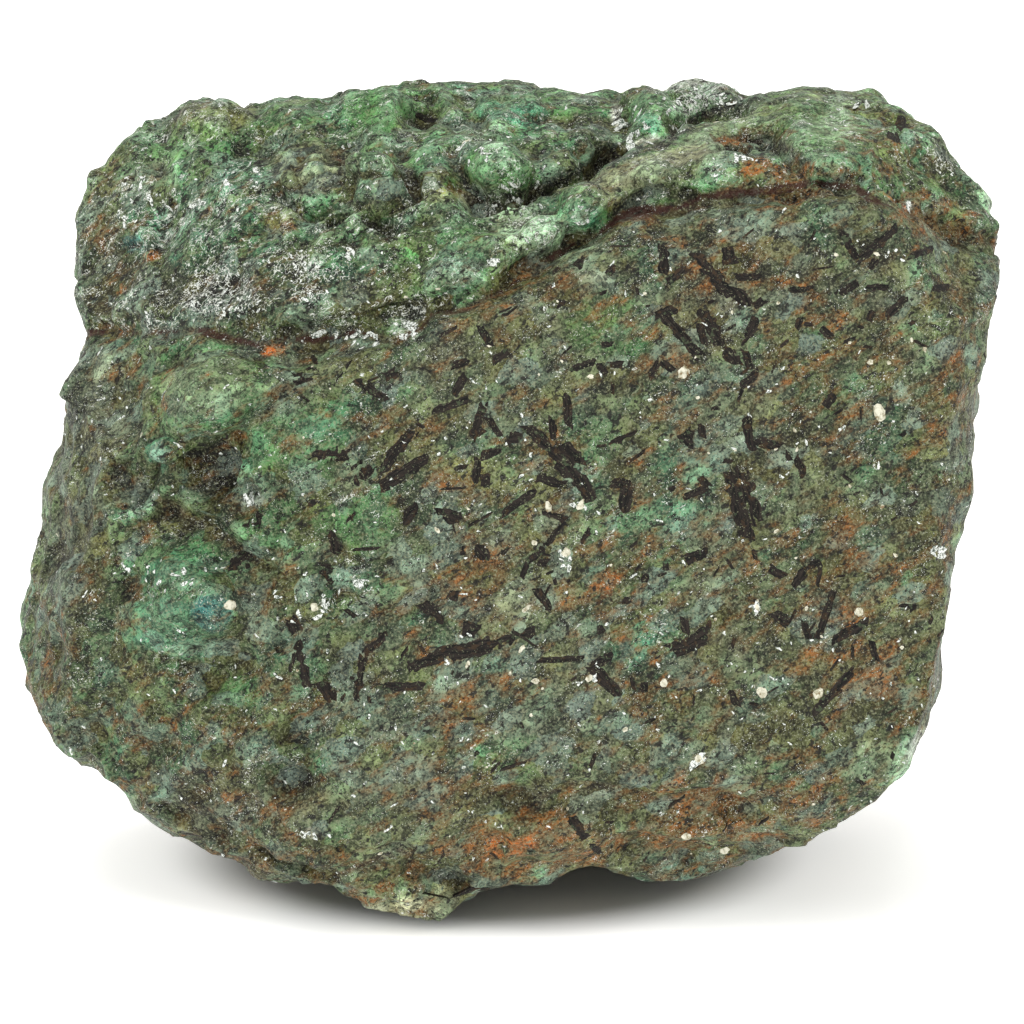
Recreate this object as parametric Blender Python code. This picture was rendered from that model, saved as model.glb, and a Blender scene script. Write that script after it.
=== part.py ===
"""Rough emerald: one natural, unpolished lump of green beryl grown through with dark mica.

The lump is a broken block. Its outline, as seen from the front, is drawn point by point and extruded; fracture planes
then break off its front, sides, top and back; a seam with an overhanging slab runs round it, and lumps, hollows,
cracks and grain are raised or sunk on its faces. It stands on four worn points of its underside.

Sizes are in millimetres and are turned into metres as the mesh is made. Points on the stone are measured in its front
view, which looks down at it by VIEW_RISE: x runs across to the right, y away from the viewer and z up the view. The
stone is then stood up by turning it back through that angle.
"""

import math

import bmesh
import bpy
import numpy as np
from mathutils import Matrix, Vector, noise

NODE = "rough_emerald"
MM = 0.001

# Driving dimensions
VIEW_RISE = math.radians(15.0)  # how far the front view looks down
BLOCK_HALF_DEPTH = 33.0  # of the extruded outline, before it is broken
CLAY_STEP = 0.9  # grid step of the mesh while its forms are made
TRIANGLES = 9600  # of the finished solid
FLOOR = 4.66  # height of the ground under the view's origin
CLEARANCE = 3.2  # from the ground to the hollow underside
LIP = 0.8  # how far the upper slab stands over the seam
SEAM_DEPTH = 1.5  # of the dark groove under the slab
SEAM_HALF_WIDTH = 0.9
BACK_SEAM_DEPTH = 1.5  # of the same seam where it runs round the sides and back
BACK_SEAM_HEIGHT = 55.0  # of that seam at its left end
BACK_SEAM_RISE = 10.0  # from there to its right end
SLAB_FADE = 5.0  # how far above the seam the lip dies out
RIM_BAND = 8.0  # depth of the band, seen edge on from the front, where the outline is kept as drawn

# The outline of the block in the front view, clockwise from the middle of the left side
OUTLINE = (
    (-43, 38), (-42.5, 40.5), (-41.5, 43.5), (-41.5, 46.5), (-40.5, 50.5), (-39, 53.5), (-39.5, 54.5), (-40, 56.5),
    (-40, 64), (-38.5, 68.5), (-37, 71), (-35, 73.5), (-33, 74.5), (-31, 76), (-26.5, 76.5), (-23.5, 75.5),
    (-22, 76.5), (-16.5, 77), (-10, 77.5), (-6.5, 78.5), (-5, 78), (1, 78), (5, 77.5), (10.5, 77), (16, 78),
    (18.5, 79), (22, 77.5), (25, 77), (34.5, 77.5), (36, 76), (39.5, 73.5), (41.5, 71), (42, 69.5), (44.5, 67),
    (45, 61.5), (44.5, 55.5), (43, 46), (42, 38), (40.5, 30), (39.5, 27), (39, 21), (38, 18), (35.5, 13.5),
    (33.5, 11.5), (29, 9), (24.5, 6.5), (18.5, 4), (15.5, 3.5), (13, 3.5), (8, 5.5), (3.5, 3.5), (-2.5, 3.5),
    (-5, 1), (-7.5, 0), (-11.5, 0.5), (-15.5, 2.5), (-21.5, 4), (-26.5, 6), (-32, 10), (-36, 13.5), (-40.5, 16),
    (-42, 19), (-44.5, 22.5), (-45, 27), (-45, 29), (-44.5, 31), (-44, 33.5),
)

# Each fracture plane: a point on it, and the way it faces
FRACTURES = {
    "front": ((4, -27, 36), (0.02, -1, -0.1)),
    "front left": ((-24, -26, 38), (-0.35, -1, -0.06)),
    "left side": ((-38, -20.6, 38), (-1, -0.45, 0.1)),
    "lower left": ((-33, -17.5, 13), (-0.5, -0.7, -0.5)),
    "lower front": ((8, -26.3, 15), (0.06, -0.9, -0.4)),
    "under the front": ((8, -24, 9), (0.1, -0.62, -0.77)),
    "right edge": ((41.4, -24.5, 43), (0.85, -0.6, -0.12)),
    "slab front": ((-20, -26, 55), (-0.15, -0.9, 0.41)),
    "slab slope": ((-20, -21, 66), (-0.12, -0.5, 0.87)),
    "top": ((15, -27, 68.6), (-0.03, -0.31, 0.944)),
    "top left corner": ((-36, 0, 73), (-0.55, -0.67, 0.5)),
    "top right corner": ((41, -19, 66), (0.6, -0.6, 0.5)),
    "back": ((0, 25, 36), (0.05, 1, 0.3)),
    "back top": ((0, 13, 72), (-0.1, 0.6, 0.85)),
    "back left": ((-31, 17, 38), (-0.75, 0.7, 0.12)),
    "back right": ((34, 17, 38), (0.8, 0.62, 0.1)),
    "back foot": ((0, 25, 6), (0.1, 0.8, -0.55)),
    "back upper left": ((-20, 18, 58), (-0.45, 0.8, 0.4)),
    "back lower right": ((21, 25, 18), (0.4, 0.85, -0.3)),
    "left foot": ((-34, 4, 8), (-0.8, 0.1, -0.6)),
    "right side behind": ((41, 8, 30), (1, 0.32, -0.1)),
    "right foot behind": ((29, 14, 8), (0.6, 0.5, -0.6)),
    "left side behind": ((-41, 8, 34), (-1, 0.4, 0.15)),
}

# Rounded bodies grown on the block: middle, and size across, deep and up
BODIES = {
    "front foot": ((-9.3, -15.5, 3.6), (11, 12, 8.5)),
    "foot heel": ((-13, -12, 5.5), (14, 14, 9)),
    "knob": ((-11.8, -19.5, 67.3), (5.2, 5.5, 5.6)),
    "back boulder left": ((-19.5, -2, 73.0), (8, 9, 6)),
    "back boulder right": ((-12.8, -4, 73.2), (8.5, 9, 7.5)),
    "peak": ((-6, 0, 75.4), (5, 6, 5.5)),
    "crystal block": ((14, -4.5, 74.3), (8, 7, 7)),
    "fibrous peak": ((19.5, -1, 76), (7, 6, 5)),
    "dark block": ((7.3, -7, 72.6), (5.5, 6, 6)),
}

# The seam between the upper slab and the stone below, from left to right
SEAM = (
    (-46, 55.3), (-35, 55), (-28.5, 55.5), (-23, 54), (-17.5, 54.5), (-13.5, 55), (-7, 56.5), (-4, 57), (-1.5, 57.5),
    (1, 60), (4.5, 62.5), (9, 64.5), (12, 67), (17.5, 67.5), (22, 68), (28, 69), (31.5, 68.5), (34, 67.5),
    (38.5, 65.5), (47, 63),
)
# Cracks and furrows in the front: the line of each, its width and its depth
CRACKS = {
    "long top crack": (((-6.5, 67), (-3, 67), (0.5, 68), (5, 69), (8.5, 71), (12, 72), (17.5, 75), (20, 76)), 1.5, 1.8),
    "crust crack": (((-21, 68), (-18, 68.6), (-14.5, 68.2)), 1.5, 1.5),
    "knob ridge side": (((-16, 67.3), (-12.8, 64.4), (-4.6, 66.7)), 1.8, 0.9),
    "rusty crack": (((-36.5, 43), (-33, 40), (-28, 37), (-24, 34.5)), 1.6, 0.8),
    "valley": (((-15, 24), (-16.5, 21), (-17.5, 18), (-20.5, 13.5)), 4.4, 1.1),
    "under ledge": (((1, 12.4), (4, 12), (9, 11.8), (13, 10.6), (18, 11), (23, 11.8)), 2.6, 1.3),
    "foot crease": (((-17, 4.6), (-12, 6.2), (-7, 5), (-3, 3.6)), 1.8, 1.0),
}

# Lumps (raised) and hollows (sunk) on a face: middle on that face, size, turn in degrees, height
FORMS = {
    "front": (
        ((-20, 63), (34, 16), 4, 1.6),  # swell of the upper slab
        ((-27, 49), (15, 9), 6, 1.5),
        ((-31.6, 43.9), (6, 4.4), 0, 1.0),
        ((-28, 41.6), (7, 6.4), 20, -1.6),
        ((-24.4, 42), (2.8, 3.4), 0, 0.7),
        ((-34.1, 38.4), (7, 3), -10, 1.0),
        ((-29.8, 29.6), (13, 10.5), 10, 1.7),
        ((-26, 21.4), (6, 4), 20, 0.9),
        ((-19.7, 13.1), (4.2, 4.2), 0, -1.4),
        ((-38, 24), (8, 16), 5, -0.8),
        ((-11.5, 30.6), (6.5, 4.2), 5, 0.5),
        ((6.4, 14.2), (9, 4), 0, 0.8),
        ((22, 15), (16, 7), 8, 0.6),
        ((35.4, 15.4), (7, 5.5), 25, 0.7),
        ((3.1, 64.4), (5.6, 4.6), 30, 0.9),
        ((7, 66.2), (5.4, 5), 30, 1.0),
        ((-10.6, 67.8), (8.5, 8.5), 0, -1.8),  # the pit round the knob
        ((-18.2, 70.6), (8.5, 6), 10, 0.9),
        ((-4.5, 68.6), (5, 5), 0, -1.2),
        ((0, 70), (8, 5.6), 5, 1.3),
        ((9.3, 71.8), (5.6, 2.6), 25, -1.6),
        ((23, 71.9), (6.4, 2.6), -5, -1.1),
        ((29, 71), (16, 7), -5, 0.9),
        ((35.8, 73), (2.6, 4.2), 25, -0.8),
        ((-16, 77), (5, 3), 0, 0.8),
        ((0, 40), (40, 22), 10, 0.5),
        ((17, 26), (26, 20), -10, -0.5),
    ),
    "back": (
        ((-16, 50), (24, 18), 15, 2.4),
        ((14, 54), (22, 14), -20, -1.8),
        ((20, 34), (20, 16), 30, 2.2),
        ((-20, 26), (20, 14), -15, -2.0),
        ((0, 20), (18, 10), 0, 1.8),
        ((-2, 62), (20, 8), 5, 1.2),
    ),
    "left": (
        ((14, 60), (12, 12), 0, 1.4),
        ((8, 44), (14, 10), 20, -1.6),
        ((13, 28), (16, 14), -10, 1.4),
    ),
    "right": (
        ((13, 58), (16, 12), 10, 1.2),
        ((9, 40), (16, 12), -20, -1.4),
        ((12, 24), (14, 10), 0, 1.1),
    ),
    "top": (
        ((18, -6), (24, 8), 5, 0.7),
        ((-2, 10), (9, 8), 0, -1.4),
    ),
}
# For each face: the two directions it is measured in, and the direction it faces
FACES = {
    "front": (0, 2, (0, -1, 0)),
    "back": (0, 2, (0, 1, 0)),
    "left": (1, 2, (-1, 0, 0)),
    "right": (1, 2, (1, 0, 0)),
    "top": (0, 1, (0, 0, 1)),
}

# Worn points that the stone stands on: place on the ground and how far each reaches
FEET = (
    ((-9.3, -15.5), 7.5),
    ((16.3, -4.0), 7.0),
    ((21.0, 17.0), 8.5),
    ((-18.0, 18.5), 9.0),
)

# Grain of the whole surface: wavelength and height of each layer of waves
WAVES = ((17.0, 1.5), (8.0, 0.8), (4.0, 0.42))
CHIP_SIZE = 5.2  # of the rounded grains that the lump broke along
CHIP_HEIGHT = 0.75


def clear_scene():
    for thing in list(bpy.data.objects):
        bpy.data.objects.remove(thing)


def bake_modifier(thing, kind, **settings):
    """Adds a modifier and makes its result the object's own mesh."""
    modifier = thing.modifiers.new(kind.title(), kind)
    for name, value in settings.items():
        setattr(modifier, name, value)
    bpy.context.view_layer.objects.active = thing
    bpy.ops.object.modifier_apply(modifier=modifier.name)


def break_off(mesh, point, facing):
    """Cuts away what lies beyond a plane and closes the cut with a flat face."""
    cut = bmesh.ops.bisect_plane(
        mesh,
        geom=mesh.verts[:] + mesh.edges[:] + mesh.faces[:],
        plane_co=Vector(point) * MM,
        plane_no=Vector(facing).normalized(),
        clear_outer=True,
    )
    rim = [item for item in cut["geom_cut"] if isinstance(item, bmesh.types.BMEdge)]
    bmesh.ops.edgenet_fill(mesh, edges=rim)


def make_block():
    """The extruded outline, broken along its fracture planes, with its rounded bodies and feet."""
    mesh = bmesh.new()
    corners = [mesh.verts.new((x * MM, -BLOCK_HALF_DEPTH * MM, z * MM)) for x, z in OUTLINE]
    face = mesh.faces.new(corners)
    grown = bmesh.ops.extrude_face_region(mesh, geom=[face])
    pushed = [item for item in grown["geom"] if isinstance(item, bmesh.types.BMVert)]
    bmesh.ops.translate(mesh, verts=pushed, vec=(0, 2 * BLOCK_HALF_DEPTH * MM, 0))
    for point, facing in FRACTURES.values():
        break_off(mesh, point, facing)
    bmesh.ops.triangulate(mesh, faces=mesh.faces[:])
    bmesh.ops.recalc_face_normals(mesh, faces=mesh.faces[:])
    for middle, size in BODIES.values():
        place = Matrix.Translation(Vector(middle) * MM) @ Matrix.Diagonal((*(Vector(size) * MM / 2), 1))
        bmesh.ops.create_icosphere(mesh, subdivisions=3, radius=1.0, matrix=place)
    data = bpy.data.meshes.new(NODE)
    mesh.to_mesh(data)
    mesh.free()
    stone = bpy.data.objects.new(NODE, data)
    bpy.context.collection.objects.link(stone)
    return stone


def read_surface(stone):
    """The mesh's points, in millimetres, and its normals."""
    count = len(stone.data.vertices)
    points = np.empty(3 * count)
    normals = np.empty(3 * count)
    stone.data.vertices.foreach_get("co", points)
    stone.data.vertex_normals.foreach_get("vector", normals)
    return points.reshape(-1, 3) / MM, normals.reshape(-1, 3)


def write_surface(stone, points):
    stone.data.vertices.foreach_set("co", (points * MM).ravel())
    stone.data.update()


def ease(value, low, high):
    """0 below low, 1 above high and a smooth rise between."""
    part = np.clip((value - low) / (high - low), 0, 1)
    return part * part * (3 - 2 * part)


def mound(across, up, middle, size, turn):
    """1 at the middle of an ellipse, falling smoothly to 0 at its rim."""
    c, s = math.cos(math.radians(turn)), math.sin(math.radians(turn))
    x, y = across - middle[0], up - middle[1]
    along, aside = (x * c + y * s) * 2 / size[0], (y * c - x * s) * 2 / size[1]
    return np.clip(1 - along**2 - aside**2, 0, 1) ** 1.5


def from_line(across, up, line):
    """How far each point lies from a bent line: the distance, positive on its upper left side."""
    best = np.full(len(across), np.inf)
    side = np.ones(len(across))
    for (x0, y0), (x1, y1) in zip(line, line[1:]):
        dx, dy = x1 - x0, y1 - y0
        part = np.clip(((across - x0) * dx + (up - y0) * dy) / (dx * dx + dy * dy), 0, 1)
        gap_x, gap_y = across - x0 - part * dx, up - y0 - part * dy
        gap = np.hypot(gap_x, gap_y)
        near = gap < best
        best = np.where(near, gap, best)
        side = np.where(near, np.where(dx * gap_y - dy * gap_x < 0, -1.0, 1.0), side)
    return best * side


def raise_forms(stone):
    """Lumps and hollows, face by face."""
    points, normals = read_surface(stone)
    lift = np.zeros(len(points))
    for face, forms in FORMS.items():
        first, second, facing = FACES[face]
        turned = ease(normals @ np.array(facing), 0.1, 0.5)
        for middle, size, turn, height in forms:
            lift += height * turned * mound(points[:, first], points[:, second], middle, size, turn)
    write_surface(stone, points + normals * lift[:, None])


def cut_seam(stone):
    """The groove under the upper slab, the slab's lip over it, and the cracks."""
    points, normals = read_surface(stone)
    x, z, facing = points[:, 0], points[:, 2], ease(-normals[:, 1], 0.0, 0.35)
    above = from_line(x, z, SEAM)
    lip = LIP * ease(above, -0.6, 0.5) * np.exp(-np.clip(above, 0, None) / SLAB_FADE)
    groove = SEAM_DEPTH * np.exp(-(((above + 0.6) / SEAM_HALF_WIDTH) ** 2))
    strength = 1.0 - 0.45 * ease(x, 10, 26)
    push = (groove - lip) * facing * strength
    for line, width, depth in CRACKS.values():
        push += depth * facing * np.exp(-((from_line(x, z, line) / (width / 2)) ** 2))
    points[:, 1] += push
    around = 1 - ease(-normals[:, 1], 0.0, 0.35)
    wander = 1.2 * np.sin(points[:, 1] / 4.0 + x / 7.0)
    level = z - BACK_SEAM_HEIGHT - BACK_SEAM_RISE * ease(x, -22, 26) - wander
    open_width = 0.55 + 0.45 * np.sin(points[:, 1] / 5.0 - x / 6.0)
    points -= normals * (BACK_SEAM_DEPTH * open_width * around * np.exp(-((level / 1.2) ** 2)))[:, None]
    write_surface(stone, points)


def roughen(stone):
    """Waves and rounded grains over the whole surface, weaker where the outline is drawn and on the flat front."""
    points, normals = read_surface(stone)
    x, z = points[:, 0], points[:, 2]
    front = ease(-normals[:, 1], 0.5, 0.9)
    calm = front * ease(x, -22, -8) * (1 - ease(z, 56, 66))
    drawn = (1 - ease(np.abs(normals[:, 1]), 0.0, 0.4)) * np.exp(-(((points[:, 1] - 1) / RIM_BAND) ** 2))
    weight = (1 - 0.62 * calm) * (1 - 0.8 * drawn)
    lift = np.zeros(len(points))
    for index, point in enumerate(points):
        place = Vector(point)
        for wave, height in WAVES:
            lift[index] += height * noise.noise(place / wave + Vector((wave, 0, 0)))
        gaps = noise.voronoi(place / CHIP_SIZE)[0]
        lift[index] += CHIP_HEIGHT * (0.35 - min(gaps[0], 0.9))
    write_surface(stone, points + normals * (lift * weight)[:, None])


def stand(stone):
    """Turns the block from its front view to stand upright and hollows its underside between the feet."""
    stone.data.transform(Matrix.Rotation(-VIEW_RISE, 4, "X"))
    stone.data.transform(Matrix.Translation((0, 0, -FLOOR * MM)))
    points, normals = read_surface(stone)
    x, y, z = points.T
    uneven = np.array([noise.noise(Vector((a, b, 5)) / 7.0) for a, b in zip(x, y)])
    feet = np.zeros(len(points))
    for (foot_x, foot_y), reach in FEET:
        away = np.hypot(x - foot_x, y - foot_y) * (1 + 0.5 * uneven)
        feet = np.maximum(feet, 1 - ease(away, 0.3 * reach, 1.25 * reach))
    inside = ease(y, -21, -9)
    hollow = CLEARANCE * inside * (1 + 1.1 * uneven) * (1 - feet) - 0.7 * feet
    points[:, 2] = np.where(z < hollow, hollow, z)
    write_surface(stone, points)


def level_feet(stone):
    """Cuts the worn points flat on the ground and moves the origin under the middle of the stone."""
    mesh = bmesh.new()
    mesh.from_mesh(stone.data)
    break_off(mesh, (0, 0, 0), (0, 0, -1))
    bmesh.ops.triangulate(mesh, faces=mesh.faces[:])
    low = Vector([min(vert.co[axis] for vert in mesh.verts) for axis in range(3)])
    high = Vector([max(vert.co[axis] for vert in mesh.verts) for axis in range(3)])
    middle = (low + high) / 2
    bmesh.ops.translate(mesh, verts=mesh.verts[:], vec=(-middle.x, -middle.y, 0))
    mesh.to_mesh(stone.data)
    mesh.free()


def colour(stone):
    """Cloudy green beryl, dull and slightly waxy."""
    material = bpy.data.materials.new("green_beryl")
    material.use_nodes = True
    shader = material.node_tree.nodes["Principled BSDF"]
    shader.inputs["Base Color"].default_value = (0.09, 0.14, 0.08, 1)
    shader.inputs["Roughness"].default_value = 0.5
    shader.inputs["Metallic"].default_value = 0.0
    stone.data.materials.append(material)


def build():
    clear_scene()
    stone = make_block()
    bake_modifier(stone, "REMESH", mode="VOXEL", voxel_size=CLAY_STEP * MM)
    bake_modifier(stone, "SMOOTH", factor=0.5, iterations=5)
    raise_forms(stone)
    cut_seam(stone)
    roughen(stone)
    stand(stone)
    bake_modifier(stone, "REMESH", mode="VOXEL", voxel_size=CLAY_STEP * MM)
    stone.data.calc_loop_triangles()
    bake_modifier(stone, "DECIMATE", ratio=TRIANGLES / len(stone.data.loop_triangles))
    level_feet(stone)
    colour(stone)


build()
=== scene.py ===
import math
import random
from itertools import product

import bmesh
import bpy
import numpy as np
from mathutils import Matrix, Vector, noise
from mathutils.bvhtree import BVHTree


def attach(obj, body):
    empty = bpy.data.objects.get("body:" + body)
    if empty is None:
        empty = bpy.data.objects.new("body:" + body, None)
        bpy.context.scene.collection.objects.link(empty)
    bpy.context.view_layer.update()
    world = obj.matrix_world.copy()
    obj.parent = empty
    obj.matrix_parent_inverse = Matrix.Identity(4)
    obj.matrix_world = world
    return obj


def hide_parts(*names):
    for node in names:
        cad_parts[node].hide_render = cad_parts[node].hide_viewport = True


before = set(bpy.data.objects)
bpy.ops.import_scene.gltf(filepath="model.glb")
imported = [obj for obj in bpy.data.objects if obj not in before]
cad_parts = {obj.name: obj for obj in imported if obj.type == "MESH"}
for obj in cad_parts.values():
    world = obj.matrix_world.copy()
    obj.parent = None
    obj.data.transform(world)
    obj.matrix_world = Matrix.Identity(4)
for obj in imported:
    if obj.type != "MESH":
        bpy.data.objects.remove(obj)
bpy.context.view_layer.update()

mm = 0.001
node = "rough_emerald"

# the photograph's view: places on the front are read off it in pixels, down from the top left
view = {"rise": 15.0, "distance": 900.0, "across": 0.4, "up": 33.0, "scale": 10.84, "size": 1024}
rise = math.radians(view["rise"])
viewRight = np.array([1.0, 0.0, 0.0])
viewUp = np.array([0.0, math.sin(rise), math.cos(rise)])
viewAhead = np.array([0.0, math.cos(rise), -math.sin(rise)])
eye = np.array([view["across"], 0.0, view["up"]]) - viewAhead * view["distance"]
focal = view["scale"] * view["distance"]
half = view["size"] / 2


def toPixels(points):
    # where points, in millimetres, show in the picture
    away = points - eye
    depth = away @ viewAhead
    return half + focal * (away @ viewRight) / depth, half - focal * (away @ viewUp) / depth


def towards(x, y):
    # the direction from the eye through a pixel
    ray = viewAhead + viewRight * (x - half) / focal - viewUp * (y - half) / focal
    return ray / np.linalg.norm(ray)


def ease(value, low, high):
    part = np.clip((value - low) / (high - low), 0, 1)
    return part * part * (3 - 2 * part)


def spot(x, y, middleX, middleY, wide, high, turn=0.0):
    # 1 in the middle of an ellipse, 0 from its rim outwards
    c, s = math.cos(math.radians(turn)), math.sin(math.radians(turn))
    dx, dy = x - middleX, y - middleY
    along, aside = (dx * c - dy * s) * 2 / wide, (dy * c + dx * s) * 2 / high
    return np.clip(1 - along ** 2 - aside ** 2, 0, 1)


def fromLine(x, y, line):
    # distance from a bent line, positive above it
    best = np.full(len(x), 1e9)
    side = np.ones(len(x))
    for (x0, y0), (x1, y1) in zip(line, line[1:]):
        dx, dy = x1 - x0, y1 - y0
        part = np.clip(((x - x0) * dx + (y - y0) * dy) / (dx * dx + dy * dy), 0, 1)
        gapX, gapY = x - x0 - part * dx, y - y0 - part * dy
        gap = np.hypot(gapX, gapY)
        near = gap < best
        best = np.where(near, gap, best)
        side = np.where(near, np.where(dx * gapY - dy * gapX > 0, -1.0, 1.0), side)
    return best * side


def pick(thing):
    bpy.ops.object.select_all(action="DESELECT")
    thing.select_set(True)
    bpy.context.view_layer.objects.active = thing


def useModifier(thing, kind, **settings):
    pick(thing)
    modifier = thing.modifiers.new(kind.title(), kind)
    for name, value in settings.items():
        setattr(modifier, name, value)
    bpy.ops.object.modifier_apply(modifier=modifier.name)


def readPoints(thing):
    count = len(thing.data.vertices)
    points = np.empty(3 * count)
    normals = np.empty(3 * count)
    thing.data.vertices.foreach_get("co", points)
    thing.data.vertex_normals.foreach_get("vector", normals)
    return points.reshape(-1, 3) / mm, normals.reshape(-1, 3)


def writePoints(thing, points):
    thing.data.vertices.foreach_set("co", (points * mm).ravel())
    thing.data.update()


# node helpers, all for the finish that was started last
bench = {}


def newFinish(name):
    finish = bpy.data.materials.new(name)
    finish.use_nodes = True
    bench["tree"] = finish.node_tree
    bench["shader"] = finish.node_tree.nodes["Principled BSDF"]
    return finish


def feed(socket, value):
    if isinstance(value, bpy.types.NodeSocket):
        bench["tree"].links.new(value, socket)
    elif value is not None:
        socket.default_value = value


def addNode(kind, inputs, **settings):
    # settings come first, because they decide which inputs a node has
    step = bench["tree"].nodes.new("ShaderNode" + kind)
    for name, value in settings.items():
        setattr(step, name, value)
    for name, value in inputs.items():
        feed(step.inputs[name], value)
    return step.outputs


def calc(operation, first, second=None):
    return addNode("Math", {0: first, 1: second}, operation=operation)[0]


def times(first, second):
    return calc("MULTIPLY", first, second)


def plus(first, second):
    return calc("ADD", first, second)


def minus(first, second):
    return calc("SUBTRACT", first, second)


def blend(amount, first, second, way="MIX"):
    inputs = {"Factor": amount, "A": first, "B": second}
    return addNode("Mix", inputs, data_type="RGBA", blend_type=way)["Result"]


def shade(amount, colour, *tone):
    # multiplies a colour by a tone
    return blend(amount, colour, (*tone, 1), "MULTIPLY")


def between(value, low, high, start=0.0, end=1.0):
    inputs = {"Value": value, "From Min": low, "From Max": high, "To Min": start, "To Max": end}
    return addNode("MapRange", inputs, interpolation_type="SMOOTHSTEP")["Result"]


def grainNoise(place, size, detail=3.0, roughness=0.6):
    inputs = {"Vector": place, "Scale": 1 / size, "Detail": detail, "Roughness": roughness}
    return addNode("TexNoise", inputs)["Fac"]


def cells(place, size):
    return addNode("TexVoronoi", {"Vector": place, "Scale": 1 / size})


def hueOf(colour):
    return addNode("SeparateColor", {"Color": colour})


def readLayer(name, kind="Fac"):
    return addNode("Attribute", {}, attribute_name=name)[kind]


def placeInMm(shift=(0.0, 0.0, 0.0), stretch=1.0):
    # object coordinates in millimetres, or drawn out along the rock's fabric
    turn = (0, math.radians(fabric["lean"] if stretch < 1 else 0), 0)
    place = addNode("TexCoord", {})["Object"]
    turned = addNode("Mapping", {"Vector": place, "Location": shift, "Rotation": turn})["Vector"]
    return addNode("Mapping", {"Vector": turned, "Scale": (stretch / mm, 1 / mm, 1 / mm)})["Vector"]


def bend(place, size, reach):
    # pushes a pattern about, so that its cells have uneven borders
    push = addNode("TexNoise", {"Vector": place, "Scale": 1 / size, "Detail": 2.0})["Color"]
    return blend(reach, place, push, "LINEAR_LIGHT")


def hairline(place, size, width):
    # thin crinkled lines, where a soft noise crosses its middle
    level = grainNoise(place, size, 2.0, 0.6)
    return between(calc("ABSOLUTE", minus(level, 0.5)), width, width * 0.3)


def finishWith(colour, rough, height, bump, depth, shine=None):
    # colour, roughness and relief, whose depth is in mm
    sockets = bench["shader"].inputs
    feed(sockets["Base Color"], colour)
    feed(sockets["Roughness"], rough)
    feed(sockets["Specular IOR Level"], shine)
    relief = addNode("Bump", {"Height": height, "Strength": bump, "Distance": depth * mm})
    feed(sockets["Normal"], relief["Normal"])


# pale floor that glows, a painted light that keeps shadows pale; the glow fades out right under the stone, a
# painted shadow there
paper = {"middle": (-2.0, 0.0), "reach": (54.0, 48.0), "dark": 0.61, "lit": 0.425, "glow": 0.52}


def makePaper():
    finish = newFinish("paper")
    (x, y), (wide, deep) = paper["middle"], paper["reach"]
    inputs = {"Vector": addNode("TexCoord", {})["Object"], "Location": (-x / wide, -y / deep, 0)}
    inputs["Scale"] = (1 / (wide * mm), 1 / (deep * mm), 1)
    nearness = addNode("Mapping", inputs)["Vector"]
    under = addNode("TexGradient", {"Vector": nearness}, gradient_type="SPHERICAL")["Fac"]
    sockets = bench["shader"].inputs
    feed(sockets["Base Color"], (0.9, 0.9, 0.9, 1))
    feed(sockets["Roughness"], 0.7)
    feed(sockets["Emission Color"], (1, 1, 1, 1))
    # glow strength: none right under the stone, which paints its shadow, and full from a little further out
    feed(sockets["Emission Strength"], between(under, paper["dark"], paper["lit"], 0.0, paper["glow"]))
    return finish


# camera and studio
def setStage():
    cameraData = bpy.data.cameras.new("camera")
    cameraData.sensor_width = 36.0
    cameraData.lens = 36.0 * focal / view["size"]
    cameraData.clip_start = 0.01
    cameraData.clip_end = 20.0
    camera = bpy.data.objects.new("camera", cameraData)
    camera.location = Vector(eye) * mm
    camera.rotation_euler = (math.radians(90 - view["rise"]), 0, 0)
    bpy.context.collection.objects.link(camera)
    bpy.context.scene.camera = camera

    bpy.ops.mesh.primitive_plane_add(size=6.0)
    floor = bpy.context.active_object
    floor.name = "floor"
    floor.data.materials.append(makePaper())

    world = bpy.data.worlds.new("studio")
    world.use_nodes = True
    background = world.node_tree.nodes["Background"]
    background.inputs["Color"].default_value = (1.0, 0.98, 0.935, 1)
    background.inputs["Strength"].default_value = 0.84
    bpy.context.scene.world = world

    # wide soft lights: where each stands, seen from the stone, how wide it looks and how strong it is
    lamps = {
        "overhead": dict(side=-25, height=78, width=36, power=1.1),
        "front left": dict(side=-45, height=40, width=30, power=0.4),
    }
    for name, lamp in lamps.items():
        light = bpy.data.lights.new(name, "SUN")
        light.angle = math.radians(lamp["width"])
        light.energy = lamp["power"]
        holder = bpy.data.objects.new(name, light)
        holder.rotation_euler = (math.radians(90 - lamp["height"]), 0, math.radians(lamp["side"]))
        bpy.context.collection.objects.link(holder)
    bpy.context.scene.view_settings.view_transform = "Standard"


print("stage: camera and studio")
setStage()

# steady random values and clouds, the same on each run
def shuffle(cells, seed):
    # three random numbers, 0 to 1, for each cell
    mix = np.array([[127.1, 269.5, 113.5], [311.7, 183.3, 271.9], [74.7, 246.1, 124.6]])
    return np.modf(np.abs(np.sin(cells @ mix + seed)) * 43758.5453)[0]


def cloud(points, size, seed=0.0):
    # soft noise, about -1 to 1, with lumps of this size
    shift = Vector((seed, 1.7 * seed, -seed))
    return np.array([noise.noise(Vector(point) / size + shift) for point in points])


def scoops(points, size, seed, lean, bowl):
    # hollows left by flakes that broke off, which meet at sharp ridges
    boxes = np.floor(points / size)
    lowest = np.full(len(points), 1e9)
    for step in product((-1, 0, 1), repeat=3):
        corner = boxes + step
        luck = shuffle(corner, seed)
        away = points - (corner + luck) * size
        tilt = (shuffle(corner, seed + 3.1) - 0.5) * 2 * lean
        height = (away * tilt).sum(axis=1) + bowl * (away ** 2).sum(axis=1) / size
        lowest = np.minimum(lowest, height)
    # worn ridges
    worn, soft = np.percentile(lowest, 72), 0.05 * size
    return -soft * np.logaddexp(-lowest / soft, -worn / soft)


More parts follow.
